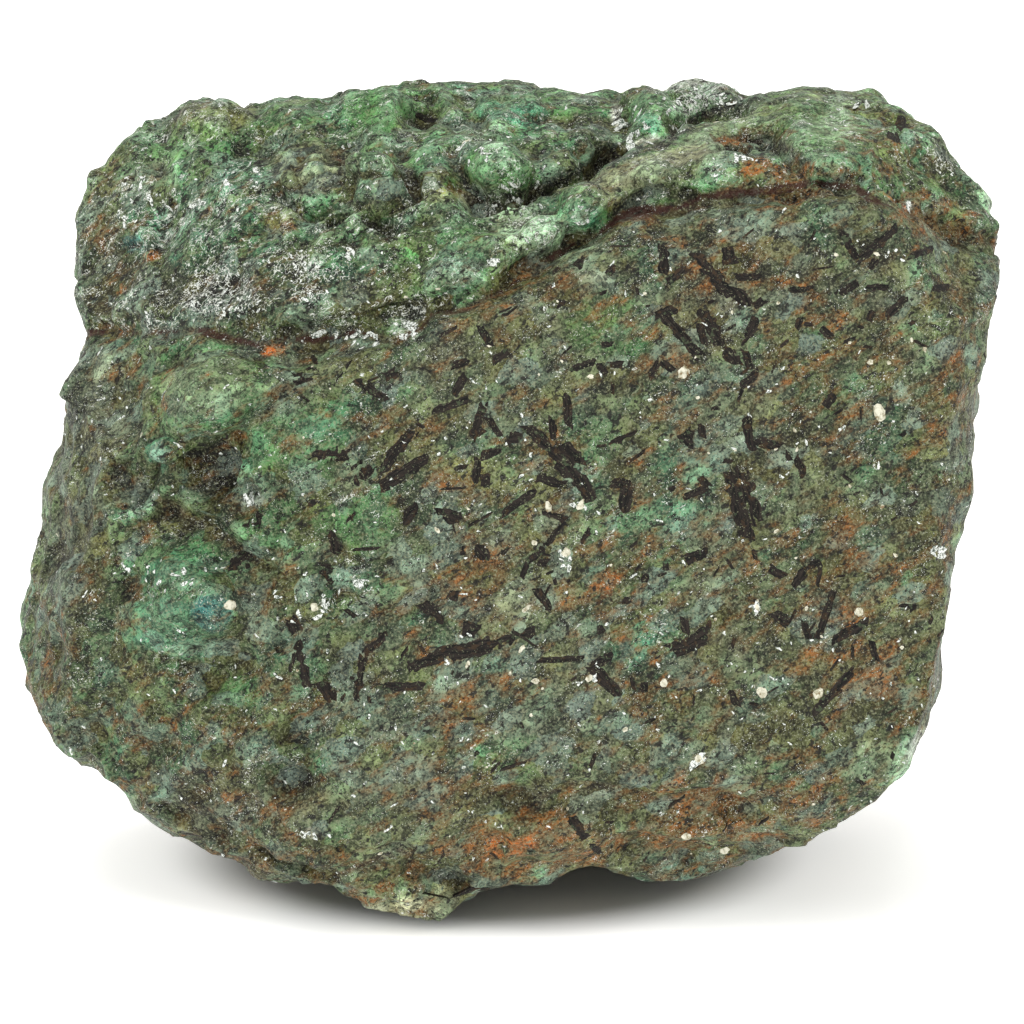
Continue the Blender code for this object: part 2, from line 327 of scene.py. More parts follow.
# lines that both the relief and the colour follow
seam = (
    (60, 335), (85, 333), (130, 333), (200, 330), (220, 336), (258, 345), (282, 338), (321, 340), (359, 332),
    (396, 340), (421, 329), (429, 316), (470, 309), (504, 290), (539, 265), (577, 242), (601, 232),
    (618, 218), (635, 213), (677, 208), (702, 197), (748, 192), (786, 189), (807, 183), (857, 187),
    (872, 200), (908, 213), (958, 229), (1010, 250),
)
longCrack = (
    (470, 201), (504, 199), (535, 189), (566, 177), (594, 164), (621, 156), (642, 146), (665, 144),
    (677, 132), (699, 116), (740, 101),
)
plateCrack = ((279, 182), (295, 190), (312, 193), (326, 190))
lensCrack = ((718, 141), (746, 137), (768, 141), (786, 148), (803, 161), (824, 173), (849, 183))
rustCrack = ((113, 464), (131, 482), (154, 496), (175, 509), (203, 524), (220, 534), (249, 553))
redCrack = ((773, 277), (811, 290), (822, 301), (841, 313), (863, 324))
valley = ((334, 680), (318, 720), (287, 785))
toeCrack = ((337, 876), (368, 862), (400, 850), (432, 876), (475, 888))
ledgeCrack = ((505, 792), (540, 798), (575, 784), (611, 786), (660, 800), (700, 790), (732, 800))
vRidge = ((333, 197), (352, 214), (373, 232), (400, 220), (422, 212), (451, 204))
crustRidge = ((439, 156), (457, 147), (479, 134), (508, 125))
plateRim = ((319, 142), (346, 135), (381, 137), (405, 147))
blockEdge = ((344, 587), (376, 612), (420, 591))
faceLine = ((108, 590), (108, 660))
bevel = ((938, 490), (932, 560), (926, 640))
lipRidge = ((440, 285), (480, 264), (520, 243), (560, 222), (600, 205), (650, 186), (710, 170), (770, 163))

# the stone's surface
stoneShape = {
    "claySize": 0.38,  # grid of the fine surface, mm
    "smoothing": 6,
    "triangles": 196000,
    "backShare": 0.33,  # how much of the mesh the sides and back keep before the whole is thinned
    "waves": ((6.5, 0.5), (3.2, 0.3), (1.5, 0.14), (0.8, 0.09)),  # size and height, mm
    "flakes": ((6.5, 0.32, 0.18), (3.0, 0.5, 0.28), (1.5, 0.42, 0.22)),  # size, lean and bowl of each hollow
    "waveCalm": 0.7,  # how much calmer the waves, then the hollows, are on the face
    "flakeCalm": 0.65,
    "crystalCalm": 0.7,  # and on clear crystal
    "wavy": 12,  # how far the lumps' edges wander, pixels
    "hollowed": 0.7,
    "pits": 0.8,  # depth in the crust, mm
    "lift": 0.3,  # of the whole surface, mm
    "topLift": 0.9,
    "middle": (512, 500),  # which the outline's angles go round, pixels
    "spike": 0.28,  # a point this far out of its neighbours, mm, is drawn in
    "spikeShare": 0.55,  # if that is also this share of its edges
}

# the rock's grain runs up to the right across the face
fabric = {"lean": 32, "stretch": 0.7, "streak": 0.42}

# knobs and swellings that meet in sharp creases: place and size in pixels, turn in degrees if any, rise in mm
lumps = (
    # rear shelf and ridge
    (205, 122, 96, 44, 14, 0.5), (284, 124, 92, 30, 8, 0.7), (300, 108, 74, 26, 10, 0.7),
    (352, 104, 50, 34, -10, 0.8), (384, 116, 52, 48, 20, 0.9), (425, 96, 60, 34, -12, 1.0),
    (446, 112, 36, 30, 0.8), (490, 110, 30, 26, 0.7), (526, 114, 46, 24, 5, 0.7), (508, 96, 50, 20, 0.5),
    (558, 97, 50, 18, 0.5), (602, 96, 40, 18, 10, 0.4),
    # crust plate and knob
    (314, 168, 84, 56, 4, 0.6), (373, 150, 44, 34, 0.6), (372, 186, 60, 50, -10, 2.1),
    (362, 173, 36, 26, 2.2), (386, 202, 38, 36, 1.8),
    # middle lumps
    (440, 188, 50, 44, 0.7), (498, 168, 80, 56, -14, 1.3), (456, 216, 60, 24, -12, 0.4),
    (580, 107, 68, 26, 6, 0.5), (592, 130, 50, 40, -30, 0.7), (660, 118, 78, 52, -28, 1.1),
    (690, 100, 50, 34, -20, 0.7), (815, 132, 118, 66, -20, 0.5), (755, 116, 90, 34, 8, 0.2),
    # front lip above the seam
    (583, 209, 66, 54, -24, 0.5), (543, 230, 52, 40, -34, 0.3), (563, 221, 70, 46, -30, 0.5),
    (611, 200, 26, 30, 0.4), (500, 250, 56, 44, -30, 0.4), (412, 248, 56, 42, -30, 0.5),
    (462, 238, 52, 40, -20, 0.4), (470, 284, 56, 30, -24, 0.3), (420, 290, 54, 36, -10, 0.3),
    (648, 186, 80, 30, 16, 0.3), (720, 168, 90, 30, 8, 0.2), (368, 280, 52, 44, 0.3), (330, 250, 50, 40, 0.3),
    # bulge at the upper left
    (236, 180, 70, 44, 6, 0.3), (156, 166, 84, 50, -26, 0.3), (196, 206, 60, 34, -8, 0.2),
    (204, 238, 56, 38, 0.3), (246, 240, 44, 46, 0.3), (284, 214, 56, 40, 10, 0.2), (218, 290, 86, 56, 5, 0.3),
    (292, 264, 70, 36, -10, 0.3), (165, 262, 60, 44, 0.2), (122, 214, 54, 60, 0.2), (118, 286, 60, 54, 0.2),
    (310, 300, 60, 40, 0.2), (150, 306, 50, 30, 0.2), (262, 306, 50, 26, 0.1),
    # left side of the face
    (213, 398, 140, 88, 10, 1.1), (165, 454, 54, 38, 10, 1.1), (187, 476, 40, 20, 10, 0.9),
    (243, 474, 26, 34, -10, 1.1), (138, 508, 54, 26, 28, 0.8), (176, 600, 118, 104, -30, 0.9),
    (214, 620, 50, 44, 1.0), (226, 694, 64, 40, 10, 0.7), (150, 690, 70, 60, 0.3), (96, 540, 50, 90, 0.2),
    (88, 660, 60, 70, 0.2), (270, 560, 60, 40, 20, 0.2), (300, 440, 110, 64, 12, 0.2),
    (352, 440, 44, 40, 0.2), (290, 508, 80, 60, 20, 0.2),
    # face
    (370, 525, 64, 72, 0.2), (607, 325, 100, 76, 0.2), (384, 592, 58, 34, -20, 0.3),
    (318, 612, 28, 32, 20, 0.3), (334, 766, 34, 28, 0.4), (250, 760, 60, 50, 30, 0.3),
    (892, 762, 58, 48, 0.3), (860, 400, 70, 60, 0.2), (400, 900, 70, 36, 0.3), (660, 560, 60, 40, 0.2),
    (560, 860, 80, 30, 0.3), (470, 700, 90, 50, 10, 0.2),
)

# hollows between them, with their depth last
hollows = (
    (136, 112, 60, 40, 1.6), (427, 116, 34, 20, 10, 1.2), (482, 126, 30, 12, 60, 1.2),
    (472, 124, 20, 18, 0.5), (411, 188, 26, 52, 2.9), (380, 226, 50, 16, -6, 2.5), (342, 207, 26, 20, 1.9),
    (296, 192, 54, 12, 14, 0.8), (474, 196, 24, 22, 50, 1.0), (608, 151, 54, 16, 16, 2.6),
    (628, 120, 14, 40, 20, 1.0), (758, 147, 80, 24, 8, 4.2), (493, 262, 14, 10, 0.5), (132, 244, 30, 24, 0.8),
    (212, 472, 56, 44, 35, 2.4), (205, 455, 40, 12, 35, 0.8), (150, 484, 80, 14, 28, 1.0),
    (262, 556, 40, 22, 30, 0.9), (170, 665, 110, 16, -20, 0.7), (282, 388, 70, 12, 30, 0.6),
    (160, 398, 16, 70, -20, 0.5), (345, 640, 60, 60, 0.5), (310, 720, 40, 90, -30, 0.9),
    (250, 820, 70, 30, 25, 0.7), (294, 787, 36, 26, 30, 1.0), (246, 868, 56, 36, 20, 0.4),
    (322, 196, 30, 12, 10, 0.6), (450, 128, 40, 10, -20, 0.6), (580, 148, 30, 12, 0.8),
    (262, 132, 80, 10, 6, 0.7), (440, 230, 70, 12, -14, 0.5), (470, 262, 50, 12, -30, 0.5),
    (560, 205, 12, 40, -30, 0.4), (400, 150, 20, 30, 0.8),
)

# line, half width in pixels, depth in mm
furrows = (
    (seam, 3, 0.4), (longCrack, 6, 1.7), (plateCrack, 6, 1.6), (lensCrack, 5, 1.0), (rustCrack, 6, 1.0),
    (redCrack, 3, 0.15), (valley, 12, 0.5), (toeCrack, 4, 0.4), (ledgeCrack, 5, 0.45), (vRidge, 6, -0.5),
    (crustRidge, 6, -0.4), (plateRim, 5, -0.4), (blockEdge, 4, 0.3), (faceLine, 8, 0.2), (bevel, 9, -0.25),
    (lipRidge, 15, -0.7),
)

# ledges: line, how far the stone drops below it in mm, and over how many pixels it comes up again
ledges = ((rustCrack, 1.3, 60), (ledgeCrack, 0.7, 40), (blockEdge, 0.6, 30), (toeCrack, 0.5, 26))

# where the crystal is clear and even, and how much
calmPlaces = (
    (375, 108, 80, 54, 0.8), (300, 112, 96, 36, 6, 0.7), (220, 118, 100, 30, 10, 0.5),
    (498, 168, 80, 54, -14, 0.8), (815, 130, 130, 70, -20, 0.7), (690, 150, 220, 40, 20, 0.9),
    (583, 209, 66, 54, -24, 0.6), (543, 230, 50, 38, -34, 0.5), (213, 398, 140, 88, 10, 0.6),
    (300, 435, 120, 70, 10, 0.7), (370, 525, 70, 78, 0.8), (607, 325, 104, 80, 0.7),
    (180, 600, 120, 110, 0.5), (510, 108, 90, 30, 5, 0.5), (650, 118, 70, 50, -25, 0.4),
    (700, 190, 120, 30, 14, 0.5), (470, 240, 90, 40, -30, 0.4), (890, 760, 60, 50, 0.5),
)

# small corrections to the top edge: pixels across the picture, lift in mm
skyline = (
    (80, 0.0), (140, 0.6), (160, -0.6), (190, 0.8), (220, 0.1), (260, -0.6), (300, -1.2), (340, -0.6),
    (390, 0.4), (420, 0.2), (440, 0.7), (500, 0.2), (540, -0.6), (600, 0.1), (650, 0.4), (700, -0.5),
    (780, -0.6), (880, 0.1), (920, -0.4), (960, -1.1), (985, -1.0),
)

# and to the whole outline: lifts in mm for every 6 degrees, from the left round by the foot to the left again
outline = (
    0.9, 0.6, 1.1, 0.6, 0.9, 1.5, 0.0, 0.6, 0.8, 1.5, 2.0, 1.2, 0.7, 0.7, 2.2, 0.5, 0.2, 0.5, 0.3, 1.5, 1.3,
    1.1, 0.4, 0.6, 0.0, 0.8, 0.9, 0.7, 0.7, -0.3, 0.4, 0.4, -0.3, -0.8, -0.7, 1.0, 0.8, 0.6, 0.6, 1.1, 0.6,
    0.6, 0.3, 0.4, 0.8, 0.6, 0.1, 0.4, 0.1, 0.4, 0.6, 0.2, 0.9, 0.4, 0.4, 0.9, 0.9, 0.9, 1.0, 0.9, 0.9,
)


def makeStone():
    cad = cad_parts[node]
    stone = cad.copy()
    stone.data = cad.data.copy()
    stone.name = "stone"
    bpy.context.collection.objects.link(stone)
    pick(stone)
    bpy.ops.object.mode_set(mode="EDIT")
    bpy.ops.mesh.select_all(action="SELECT")
    bpy.ops.mesh.remove_doubles(threshold=0.00001)
    bpy.ops.object.mode_set(mode="OBJECT")
    useModifier(stone, "REMESH", mode="VOXEL", voxel_size=stoneShape["claySize"] * mm)
    useModifier(stone, "SMOOTH", factor=0.5, iterations=stoneShape["smoothing"])
    return stone


def readEdges(thing):
    ends = np.empty(2 * len(thing.data.edges), dtype=np.int64)
    thing.data.edges.foreach_get("vertices", ends)
    one, two = ends.reshape(-1, 2).T
    size = len(thing.data.vertices)
    return one, two, np.bincount(one, minlength=size) + np.bincount(two, minlength=size)


def middleOfOthers(points, one, two, count):
    # the middle of each point's neighbours
    total = np.stack([
        np.bincount(one, points[two, axis], len(points)) + np.bincount(two, points[one, axis], len(points))
        for axis in range(3)
    ], axis=1)
    return total / count[:, None]


def trimSpikes(thing):
    points = readPoints(thing)[0]
    one, two, count = readEdges(thing)
    soft = middleOfOthers(points, one, two, count)
    length = np.linalg.norm(points[one] - points[two], axis=1)
    usual = (np.bincount(one, length, len(points)) + np.bincount(two, length, len(points))) / count
    out = np.linalg.norm(points - soft, axis=1)
    spike = (out > stoneShape["spike"]) & (out > stoneShape["spikeShare"] * usual)
    points[spike] = soft[spike]
    writePoints(thing, points)
    print("  spikes trimmed", int(spike.sum()))


def carveStone(stone):
    points, normals = readPoints(stone)
    x, y = toPixels(points)
    facing = ease(-(normals @ viewAhead), -0.05, 0.12)
    bent = points + 1.2 * np.stack([cloud(points, 4.0, seed) for seed in (1.3, 5.1, 9.7)], axis=1)

    # the face of the block is calm, and the top, the left and the other sides are lumpy
    face = facing * ease(fromLine(x, y, seam), 6, -20) * ease(x, 200, 430) * ease(y, 905, 780)
    rough = 1 - stoneShape["waveCalm"] * face
    rise = np.zeros(len(points))
    for size, height in stoneShape["waves"]:
        rise += height * cloud(points, size, size) * rough
    even = np.zeros(len(points))
    for *place, amount in calmPlaces:
        even = np.maximum(even, amount * facing * spot(x, y, *place) ** 0.5)
    for size, lean, bowl in stoneShape["flakes"]:
        calmed = (1 - stoneShape["flakeCalm"] * face) * (1 - stoneShape["crystalCalm"] * even)
        rise += scoops(bent, size, size, lean, bowl) * calmed
    stand = np.zeros(len(points))
    wavyX = x + stoneShape["wavy"] * cloud(points, 2.6, 70.0)
    wavyY = y + stoneShape["wavy"] * cloud(points, 2.6, 80.0)
    for *place, height in lumps:
        stand = np.maximum(stand, height * spot(wavyX, wavyY, *place) ** 0.75)
    rise += stand * facing
    for *place, depth in hollows:
        rise -= stoneShape["hollowed"] * depth * facing * spot(wavyX, wavyY, *place)
    for line, halfWidth, depth in furrows:
        rise -= depth * facing * np.exp(-(fromLine(x, y, line) / halfWidth) ** 2)
    for line, drop, fade in ledges:
        below = -fromLine(x, y, line)
        rise -= drop * facing * ease(below, 0, 6) * ease(below, fade, 8)
    crust = facing * np.maximum(spot(x, y, 316, 168, 90, 60, 4), spot(x, y, 372, 184, 60, 44, -10)) ** 0.5
    rise -= stoneShape["pits"] * crust * ease(cloud(points, 0.8, 90.0), 0.0, 0.45)
    high = ease(points[:, 2], 48, 60)
    rise += stoneShape["topLift"] * high * ease(normals[:, 2], 0.0, 0.6) + stoneShape["lift"]
    angle = np.degrees(np.arctan2(stoneShape["middle"][1] - y, x - stoneShape["middle"][0]))
    edgeLift = np.interp(angle, np.linspace(-180, 180, len(outline)), outline)
    rise += edgeLift * ease(np.abs(normals @ viewAhead), 0.8, 0.3)
    moved = points + normals * rise[:, None]
    moved[:, 2] += high * np.interp(x, *zip(*skyline))
    moved[:, 2] -= moved[:, 2].min() * ease(moved[:, 2], 12, 0)  # down to the floor
    writePoints(stone, moved)

    # the sides and back are thinned first, then the whole
    group = stone.vertex_groups.new(name="thinned")
    away = np.nonzero(facing < 0.5)[0]
    group.add(away.tolist(), 1.0, "REPLACE")
    kept = 1 - (1 - stoneShape["backShare"]) * len(away) / len(points)
    useModifier(stone, "DECIMATE", ratio=kept, vertex_group="thinned", use_collapse_triangulate=True)
    print("  thinned sides and back", len(stone.data.polygons))
    useModifier(stone, "DECIMATE", ratio=stoneShape["triangles"] / len(stone.data.polygons))
    stone.vertex_groups.clear()
    trimSpikes(stone)
    trimSpikes(stone)
    pick(stone)
    bpy.ops.object.shade_smooth()


print("stage: stone")
stone = makeStone()
print("  clay points", len(stone.data.vertices))
carveStone(stone)
print("  triangles", len(stone.data.polygons))

# pigments, as a colour picker shows them
pigments = {
    "greyGreen": (88, 104, 76), "deepGreen": (36, 60, 36), "leafGreen": (74, 122, 68), "teal": (72, 134, 104),
    "seaBlue": (44, 108, 108), "mint": (150, 190, 154), "olive": (104, 100, 48), "slate": (88, 106, 94),
    "haze": (128, 148, 138), "lichen": (104, 114, 84), "ash": (144, 148, 118), "amber": (122, 86, 44),
    "rust": (124, 88, 46), "ochre": (196, 112, 44), "umber": (74, 56, 36), "oxblood": (62, 32, 25),
    "ink": (20, 19, 16), "frost": (242, 246, 238), "cream": (216, 208, 172),
}


def pigment(name):
    # from the picker's numbers to light
    value = np.array(pigments[name]) / 255
    return np.where(value < 0.04045, value / 12.92, ((value + 0.055) / 1.055) ** 2.4)


# pigment, place and size in pixels, turn in degrees if any, amount; silver is more painted glints on a darker
# ground, frost white specks are partly painted glints, and ink sits in hollows as painted shade
strokes = (
    # top and rear ridge
    ("olive", 210, 122, 110, 44, 10, 0.7), ("leafGreen", 284, 123, 90, 30, 8, 0.8),
    ("deepGreen", 300, 112, 70, 22, 8, 0.6), ("leafGreen", 375, 112, 66, 54, 0.9),
    ("leafGreen", 430, 98, 60, 40, 0.7), ("deepGreen", 425, 117, 26, 16, 0.9),
    ("teal", 490, 110, 32, 24, 0.8), ("teal", 526, 114, 48, 24, 5, 0.8), ("leafGreen", 558, 97, 48, 18, 0.7),
    ("lichen", 312, 168, 84, 54, 0.9), ("deepGreen", 290, 182, 44, 26, 0.5),
    ("leafGreen", 373, 150, 46, 34, 0.6), ("mint", 366, 176, 40, 26, 0.8), ("teal", 372, 184, 50, 40, 0.5),
    # the ink on this and the next two lines sits in the hollows round the knob and beside the middle lump:
    # painted shade
    ("deepGreen", 382, 200, 44, 40, 0.8), ("ink", 409, 188, 30, 48, 0.8), ("ink", 378, 224, 40, 14, 0.7),
    ("ink", 347, 207, 24, 18, 0.6), ("olive", 439, 187, 50, 42, 0.8), ("leafGreen", 450, 182, 16, 14, 0.9),
    ("ink", 472, 195, 18, 24, 60, 0.7), ("leafGreen", 500, 168, 76, 52, -10, 1.0),
    ("mint", 500, 160, 34, 18, -10, 0.6), ("mint", 478, 137, 74, 14, -24, 0.6),
    ("mint", 580, 100, 66, 14, 6, 0.6), ("leafGreen", 580, 110, 66, 16, 6, 0.7),
    # ink here is the shade of the raised block's side and the painted shadow it casts by the long crack
    ("ink", 590, 130, 50, 42, -30, 0.6), ("ink", 608, 150, 46, 14, 20, 0.9),
    ("leafGreen", 662, 117, 74, 52, -25, 0.9), ("teal", 648, 123, 28, 22, 0.9),
    ("mint", 682, 110, 32, 22, 0.8), ("frost", 617, 118, 10, 32, 10, 0.7),
    ("frost", 642, 143, 44, 8, 18, 0.6), ("mint", 712, 90, 64, 36, 30, 0.8),
    ("frost", 680, 84, 70, 10, 12, 0.5),
    # slab right of the long crack
    ("ash", 640, 170, 150, 30, 18, 0.7), ("ash", 720, 140, 120, 40, 20, 0.4),
    ("umber", 690, 165, 170, 30, 18, 0.35), ("leafGreen", 815, 130, 120, 66, -20, 0.7),
    ("teal", 830, 140, 110, 70, -20, 0.5), ("amber", 880, 150, 100, 110, -30, 0.5),
    ("mint", 836, 124, 44, 40, 0.7), ("mint", 842, 100, 40, 12, 0.6), ("rust", 756, 136, 90, 20, 8, 0.7),
    # ink in the lens opening: painted shade in the hole
    ("ink", 758, 148, 84, 26, 6, 1.0), ("rust", 755, 172, 80, 34, 0.8), ("ochre", 750, 170, 28, 22, 0.6),
    ("ochre", 782, 172, 20, 22, 0.5), ("ochre", 724, 178, 34, 18, -30, 0.4),
    ("umber", 941, 155, 36, 50, -30, 0.6), ("frost", 908, 207, 13, 11, 0.6), ("mint", 981, 203, 30, 34, 0.6),
    ("ochre", 934, 204, 14, 18, 0.4),
    # lip above the seam
    ("ash", 540, 232, 200, 60, -28, 0.6), ("mint", 520, 236, 150, 26, -28, 0.45),
    ("leafGreen", 583, 209, 66, 54, -20, 0.9), ("teal", 582, 214, 36, 28, 0.7),
    ("frost", 580, 216, 20, 18, 0.4), ("mint", 543, 230, 48, 36, -30, 0.3),
    ("teal", 570, 216, 80, 50, -30, 0.5), ("olive", 820, 120, 170, 90, 0.35),
    ("olive", 611, 200, 22, 26, 0.8), ("ochre", 627, 228, 20, 12, 0.6), ("ochre", 700, 229, 20, 12, 0.5),
    ("leafGreen", 680, 190, 90, 26, 14, 0.5), ("leafGreen", 413, 247, 40, 34, -40, 0.9),
    ("teal", 350, 271, 18, 14, 0.8), ("slate", 364, 254, 26, 18, 0.8), ("slate", 432, 273, 26, 16, 0.7),
    ("frost", 492, 261, 9, 8, 0.7), ("leafGreen", 470, 240, 80, 50, -30, 0.5),
    ("mint", 545, 228, 190, 40, -28, 0.45), ("ash", 640, 190, 120, 24, 14, 0.4),
    ("leafGreen", 440, 290, 90, 30, -15, 0.4), ("olive", 370, 300, 90, 40, 0.5),
    # bulge at the upper left
    ("leafGreen", 200, 150, 140, 60, -10, 0.5), ("teal", 235, 180, 56, 36, 10, 0.8),
    ("mint", 150, 137, 50, 12, -8, 0.5), ("frost", 196, 203, 22, 8, 10, 0.5), ("mint", 166, 211, 14, 12, 0.6),
    ("mint", 185, 223, 16, 12, 0.6), ("mint", 174, 240, 24, 14, 0.6), ("seaBlue", 132, 244, 30, 22, 0.9),
    ("seaBlue", 201, 234, 32, 20, 0.8), ("teal", 176, 260, 20, 15, 0.9), ("leafGreen", 243, 240, 36, 42, 1.0),
    ("olive", 280, 216, 50, 38, 10, 0.8), ("ochre", 270, 224, 16, 12, 0.5),
    ("silver", 240, 176, 70, 40, 5, 0.2), ("deepGreen", 225, 296, 84, 50, 0.8),
    ("mint", 292, 264, 60, 26, -10, 0.3), ("silver", 221, 292, 84, 58, 5, 0.6),
    ("silver", 292, 264, 70, 34, -10, 0.4), ("teal", 200, 230, 160, 120, 0.4),
    ("silver", 170, 215, 110, 90, 0.1), ("silver", 700, 92, 70, 34, 30, 0.6),
    ("ochre", 152, 258, 22, 20, 0.6), ("ochre", 130, 201, 6, 10, 0.6), ("ochre", 98, 213, 10, 10, 0.6),
    ("ochre", 118, 288, 24, 18, 0.7), ("umber", 100, 240, 60, 170, 0.5), ("amber", 112, 220, 60, 150, 0.5),
    ("lichen", 145, 178, 90, 50, -30, 0.5), ("umber", 110, 310, 60, 20, 0.7), ("teal", 330, 240, 60, 40, 0.4),
    ("leafGreen", 310, 290, 60, 30, 0.4), ("deepGreen", 235, 285, 190, 90, 0.55),
    ("umber", 140, 290, 120, 70, 0.4),
    # along the seam
    ("rust", 118, 328, 50, 12, 0.7), ("rust", 240, 342, 90, 14, 0.5), ("ochre", 276, 349, 34, 12, 18, 0.8),
    ("mint", 366, 340, 50, 16, -5, 0.7), ("mint", 404, 327, 36, 20, -20, 0.7),
    ("frost", 330, 334, 22, 8, 0.6), ("rust", 530, 270, 70, 14, 30, 0.6),
    ("oxblood", 662, 212, 96, 16, 8, 0.8), ("rust", 780, 178, 150, 36, 4, 0.75),
    ("rust", 935, 215, 110, 50, -15, 0.8), ("ochre", 900, 200, 50, 16, -20, 0.5),
    ("oxblood", 750, 194, 90, 12, 0.6),
    # left side of the face
    ("slate", 100, 400, 80, 110, 0.7), ("ash", 105, 420, 50, 160, 0.35),
    ("leafGreen", 200, 390, 140, 90, 10, 0.6), ("leafGreen", 255, 368, 44, 30, 20, 0.8),
    ("teal", 213, 408, 50, 36, 0.4), ("mint", 212, 404, 40, 34, 0.5), ("ash", 205, 385, 120, 70, 10, 0.35),
    ("teal", 164, 453, 46, 34, 10, 0.9), ("leafGreen", 186, 456, 24, 20, 0.9),
    # ink in the hollow under the teal lump: painted shade
    ("mint", 187, 474, 32, 14, 10, 0.6), ("ink", 212, 476, 60, 40, 35, 0.85),
    ("mint", 243, 476, 22, 30, -10, 0.9), ("teal", 320, 425, 70, 30, 10, 0.8),
    ("teal", 350, 436, 30, 20, 0.6), ("teal", 250, 450, 40, 50, 0.5), ("slate", 280, 408, 60, 30, 0.5),
    # ink under the rust crack's lip: painted shadow
    ("leafGreen", 290, 500, 130, 110, 20, 0.55), ("ink", 222, 512, 50, 40, 30, 0.6),
    ("frost", 252, 500, 28, 16, 0.35), ("mint", 138, 508, 44, 18, 28, 0.5),
    ("olive", 130, 490, 60, 30, 28, 0.5), ("amber", 160, 400, 20, 90, -20, 0.6),
    ("amber", 270, 395, 100, 16, 30, 0.6), ("teal", 180, 600, 120, 130, 0.7),
    ("leafGreen", 185, 570, 110, 70, 0.5), ("seaBlue", 212, 612, 44, 44, 0.9),
    ("teal", 150, 560, 60, 50, 0.5), ("mint", 190, 648, 50, 14, 10, 0.5),
    ("leafGreen", 226, 690, 80, 60, 0.6), ("deepGreen", 80, 660, 90, 150, 0.6),
    ("slate", 70, 560, 60, 140, 0.6), ("umber", 80, 500, 70, 300, 0.35),
    ("amber", 240, 830, 180, 100, 25, 0.45), ("umber", 215, 800, 110, 90, 20, 0.6),
    # ink in the hollow here: painted shade
    ("umber", 290, 800, 80, 60, 0.5), ("ink", 294, 787, 34, 26, 30, 0.6), ("slate", 334, 766, 28, 24, 0.7),
    ("umber", 250, 868, 64, 36, 20, 0.7), ("frost", 313, 834, 20, 12, 0.4),
    ("deepGreen", 300, 740, 120, 70, -40, 0.4), ("deepGreen", 180, 740, 100, 60, 30, 0.4),
    # middle of the face
    ("leafGreen", 370, 525, 70, 80, 0.6), ("leafGreen", 300, 435, 120, 70, 10, 0.4),
    ("olive", 570, 310, 110, 70, 0.5), ("leafGreen", 607, 325, 100, 80, 0.5), ("teal", 690, 470, 80, 60, 0.4),
    ("teal", 660, 520, 120, 50, 10, 0.5), ("teal", 655, 640, 60, 50, 0.6), ("slate", 720, 400, 130, 80, 0.5),
    ("slate", 560, 720, 200, 90, 0.4), ("slate", 700, 560, 120, 70, 0.3),
    ("leafGreen", 660, 570, 100, 50, 20, 0.3), ("ash", 520, 600, 120, 60, 10, 0.3),
    ("leafGreen", 600, 440, 60, 50, 0.3), ("olive", 480, 480, 80, 60, 0.5), ("olive", 540, 520, 60, 50, 0.4),
    ("ochre", 620, 580, 90, 26, 35, 0.3), ("rust", 596, 585, 40, 16, 55, 0.8),
    ("rust", 650, 634, 26, 16, 0.8), ("rust", 448, 475, 64, 44, 20, 0.6), ("rust", 570, 640, 60, 20, 25, 0.5),
    ("rust", 600, 640, 90, 60, 20, 0.3), ("ochre", 524, 518, 24, 18, 0.5), ("umber", 480, 560, 60, 60, 0.3),
    ("rust", 480, 540, 40, 26, 20, 0.4),
    # right side of the face
    ("rust", 900, 613, 60, 40, 0.6), ("rust", 895, 590, 80, 100, 0.4), ("rust", 895, 350, 50, 40, 0.6),
    ("oxblood", 946, 353, 24, 22, 0.7), ("rust", 850, 660, 150, 130, 0.65),
    ("umber", 840, 680, 110, 110, 0.4), ("teal", 890, 762, 80, 56, 0.5), ("ash", 880, 760, 90, 50, 0.4),
    ("mint", 908, 756, 34, 70, -35, 0.8), ("frost", 914, 746, 12, 40, -30, 0.5),
    ("deepGreen", 860, 802, 60, 36, -20, 0.5), ("rust", 800, 300, 140, 80, 0.25),
    ("umber", 760, 270, 160, 90, 0.4), ("umber", 700, 300, 90, 90, 0.4), ("rust", 940, 300, 60, 100, 0.4),
    ("leafGreen", 860, 400, 80, 60, 0.3),
    # lower edge and feet
    ("rust", 530, 845, 220, 80, 0.85), ("ochre", 510, 845, 60, 26, 10, 0.5),
    ("rust", 700, 815, 180, 100, 0.75), ("ochre", 690, 780, 60, 24, 0.25), ("rust", 370, 890, 60, 36, 0.8),
    ("mint", 412, 905, 90, 50, 0.7), ("ash", 410, 898, 120, 64, 0.6), ("cream", 404, 906, 70, 34, 0.4),
    ("leafGreen", 400, 885, 80, 40, 0.5), ("teal", 684, 872, 50, 24, 0.8), ("umber", 440, 790, 140, 60, 0.4),
    ("teal", 600, 880, 60, 20, 0.4), ("rust", 440, 830, 100, 40, 0.4), ("leafGreen", 520, 760, 120, 50, 0.3),
)

# line, half width in pixels, pigment, amount; the umber and ink lines along the seam, cracks and ledges are
# partly their own dark and partly painted shadow under their lips, and the mint lines on raised ridges and
# rims are painted highlight
lines = (
    (seam, 6, "umber", 0.5), (longCrack, 7, "ink", 1.0), (plateCrack, 6, "ink", 1.0),
    (lensCrack, 5, "oxblood", 0.8), (rustCrack, 5, "umber", 0.9), (redCrack, 4, "rust", 0.8),
    (toeCrack, 4, "umber", 0.9), (ledgeCrack, 5, "umber", 0.8), (blockEdge, 4, "umber", 0.7),
    (vRidge, 5, "mint", 0.5), (crustRidge, 4, "mint", 0.5), (plateRim, 4, "mint", 0.4),
)


def findCrevices(thing, points, normals, rounds=14):
    # how far each point lies under the surface round it, in mm: above 0 in a crease, below 0 on a ridge
    one, two, count = readEdges(thing)
    soft = points
    for _ in range(rounds):
        soft = middleOfOthers(soft, one, two, count)
    return ((soft - points) * normals).sum(axis=1)


def addNumbers(thing, name, values):
    layer = thing.data.attributes.new(name, "FLOAT", "POINT")
    layer.data.foreach_set("value", values)


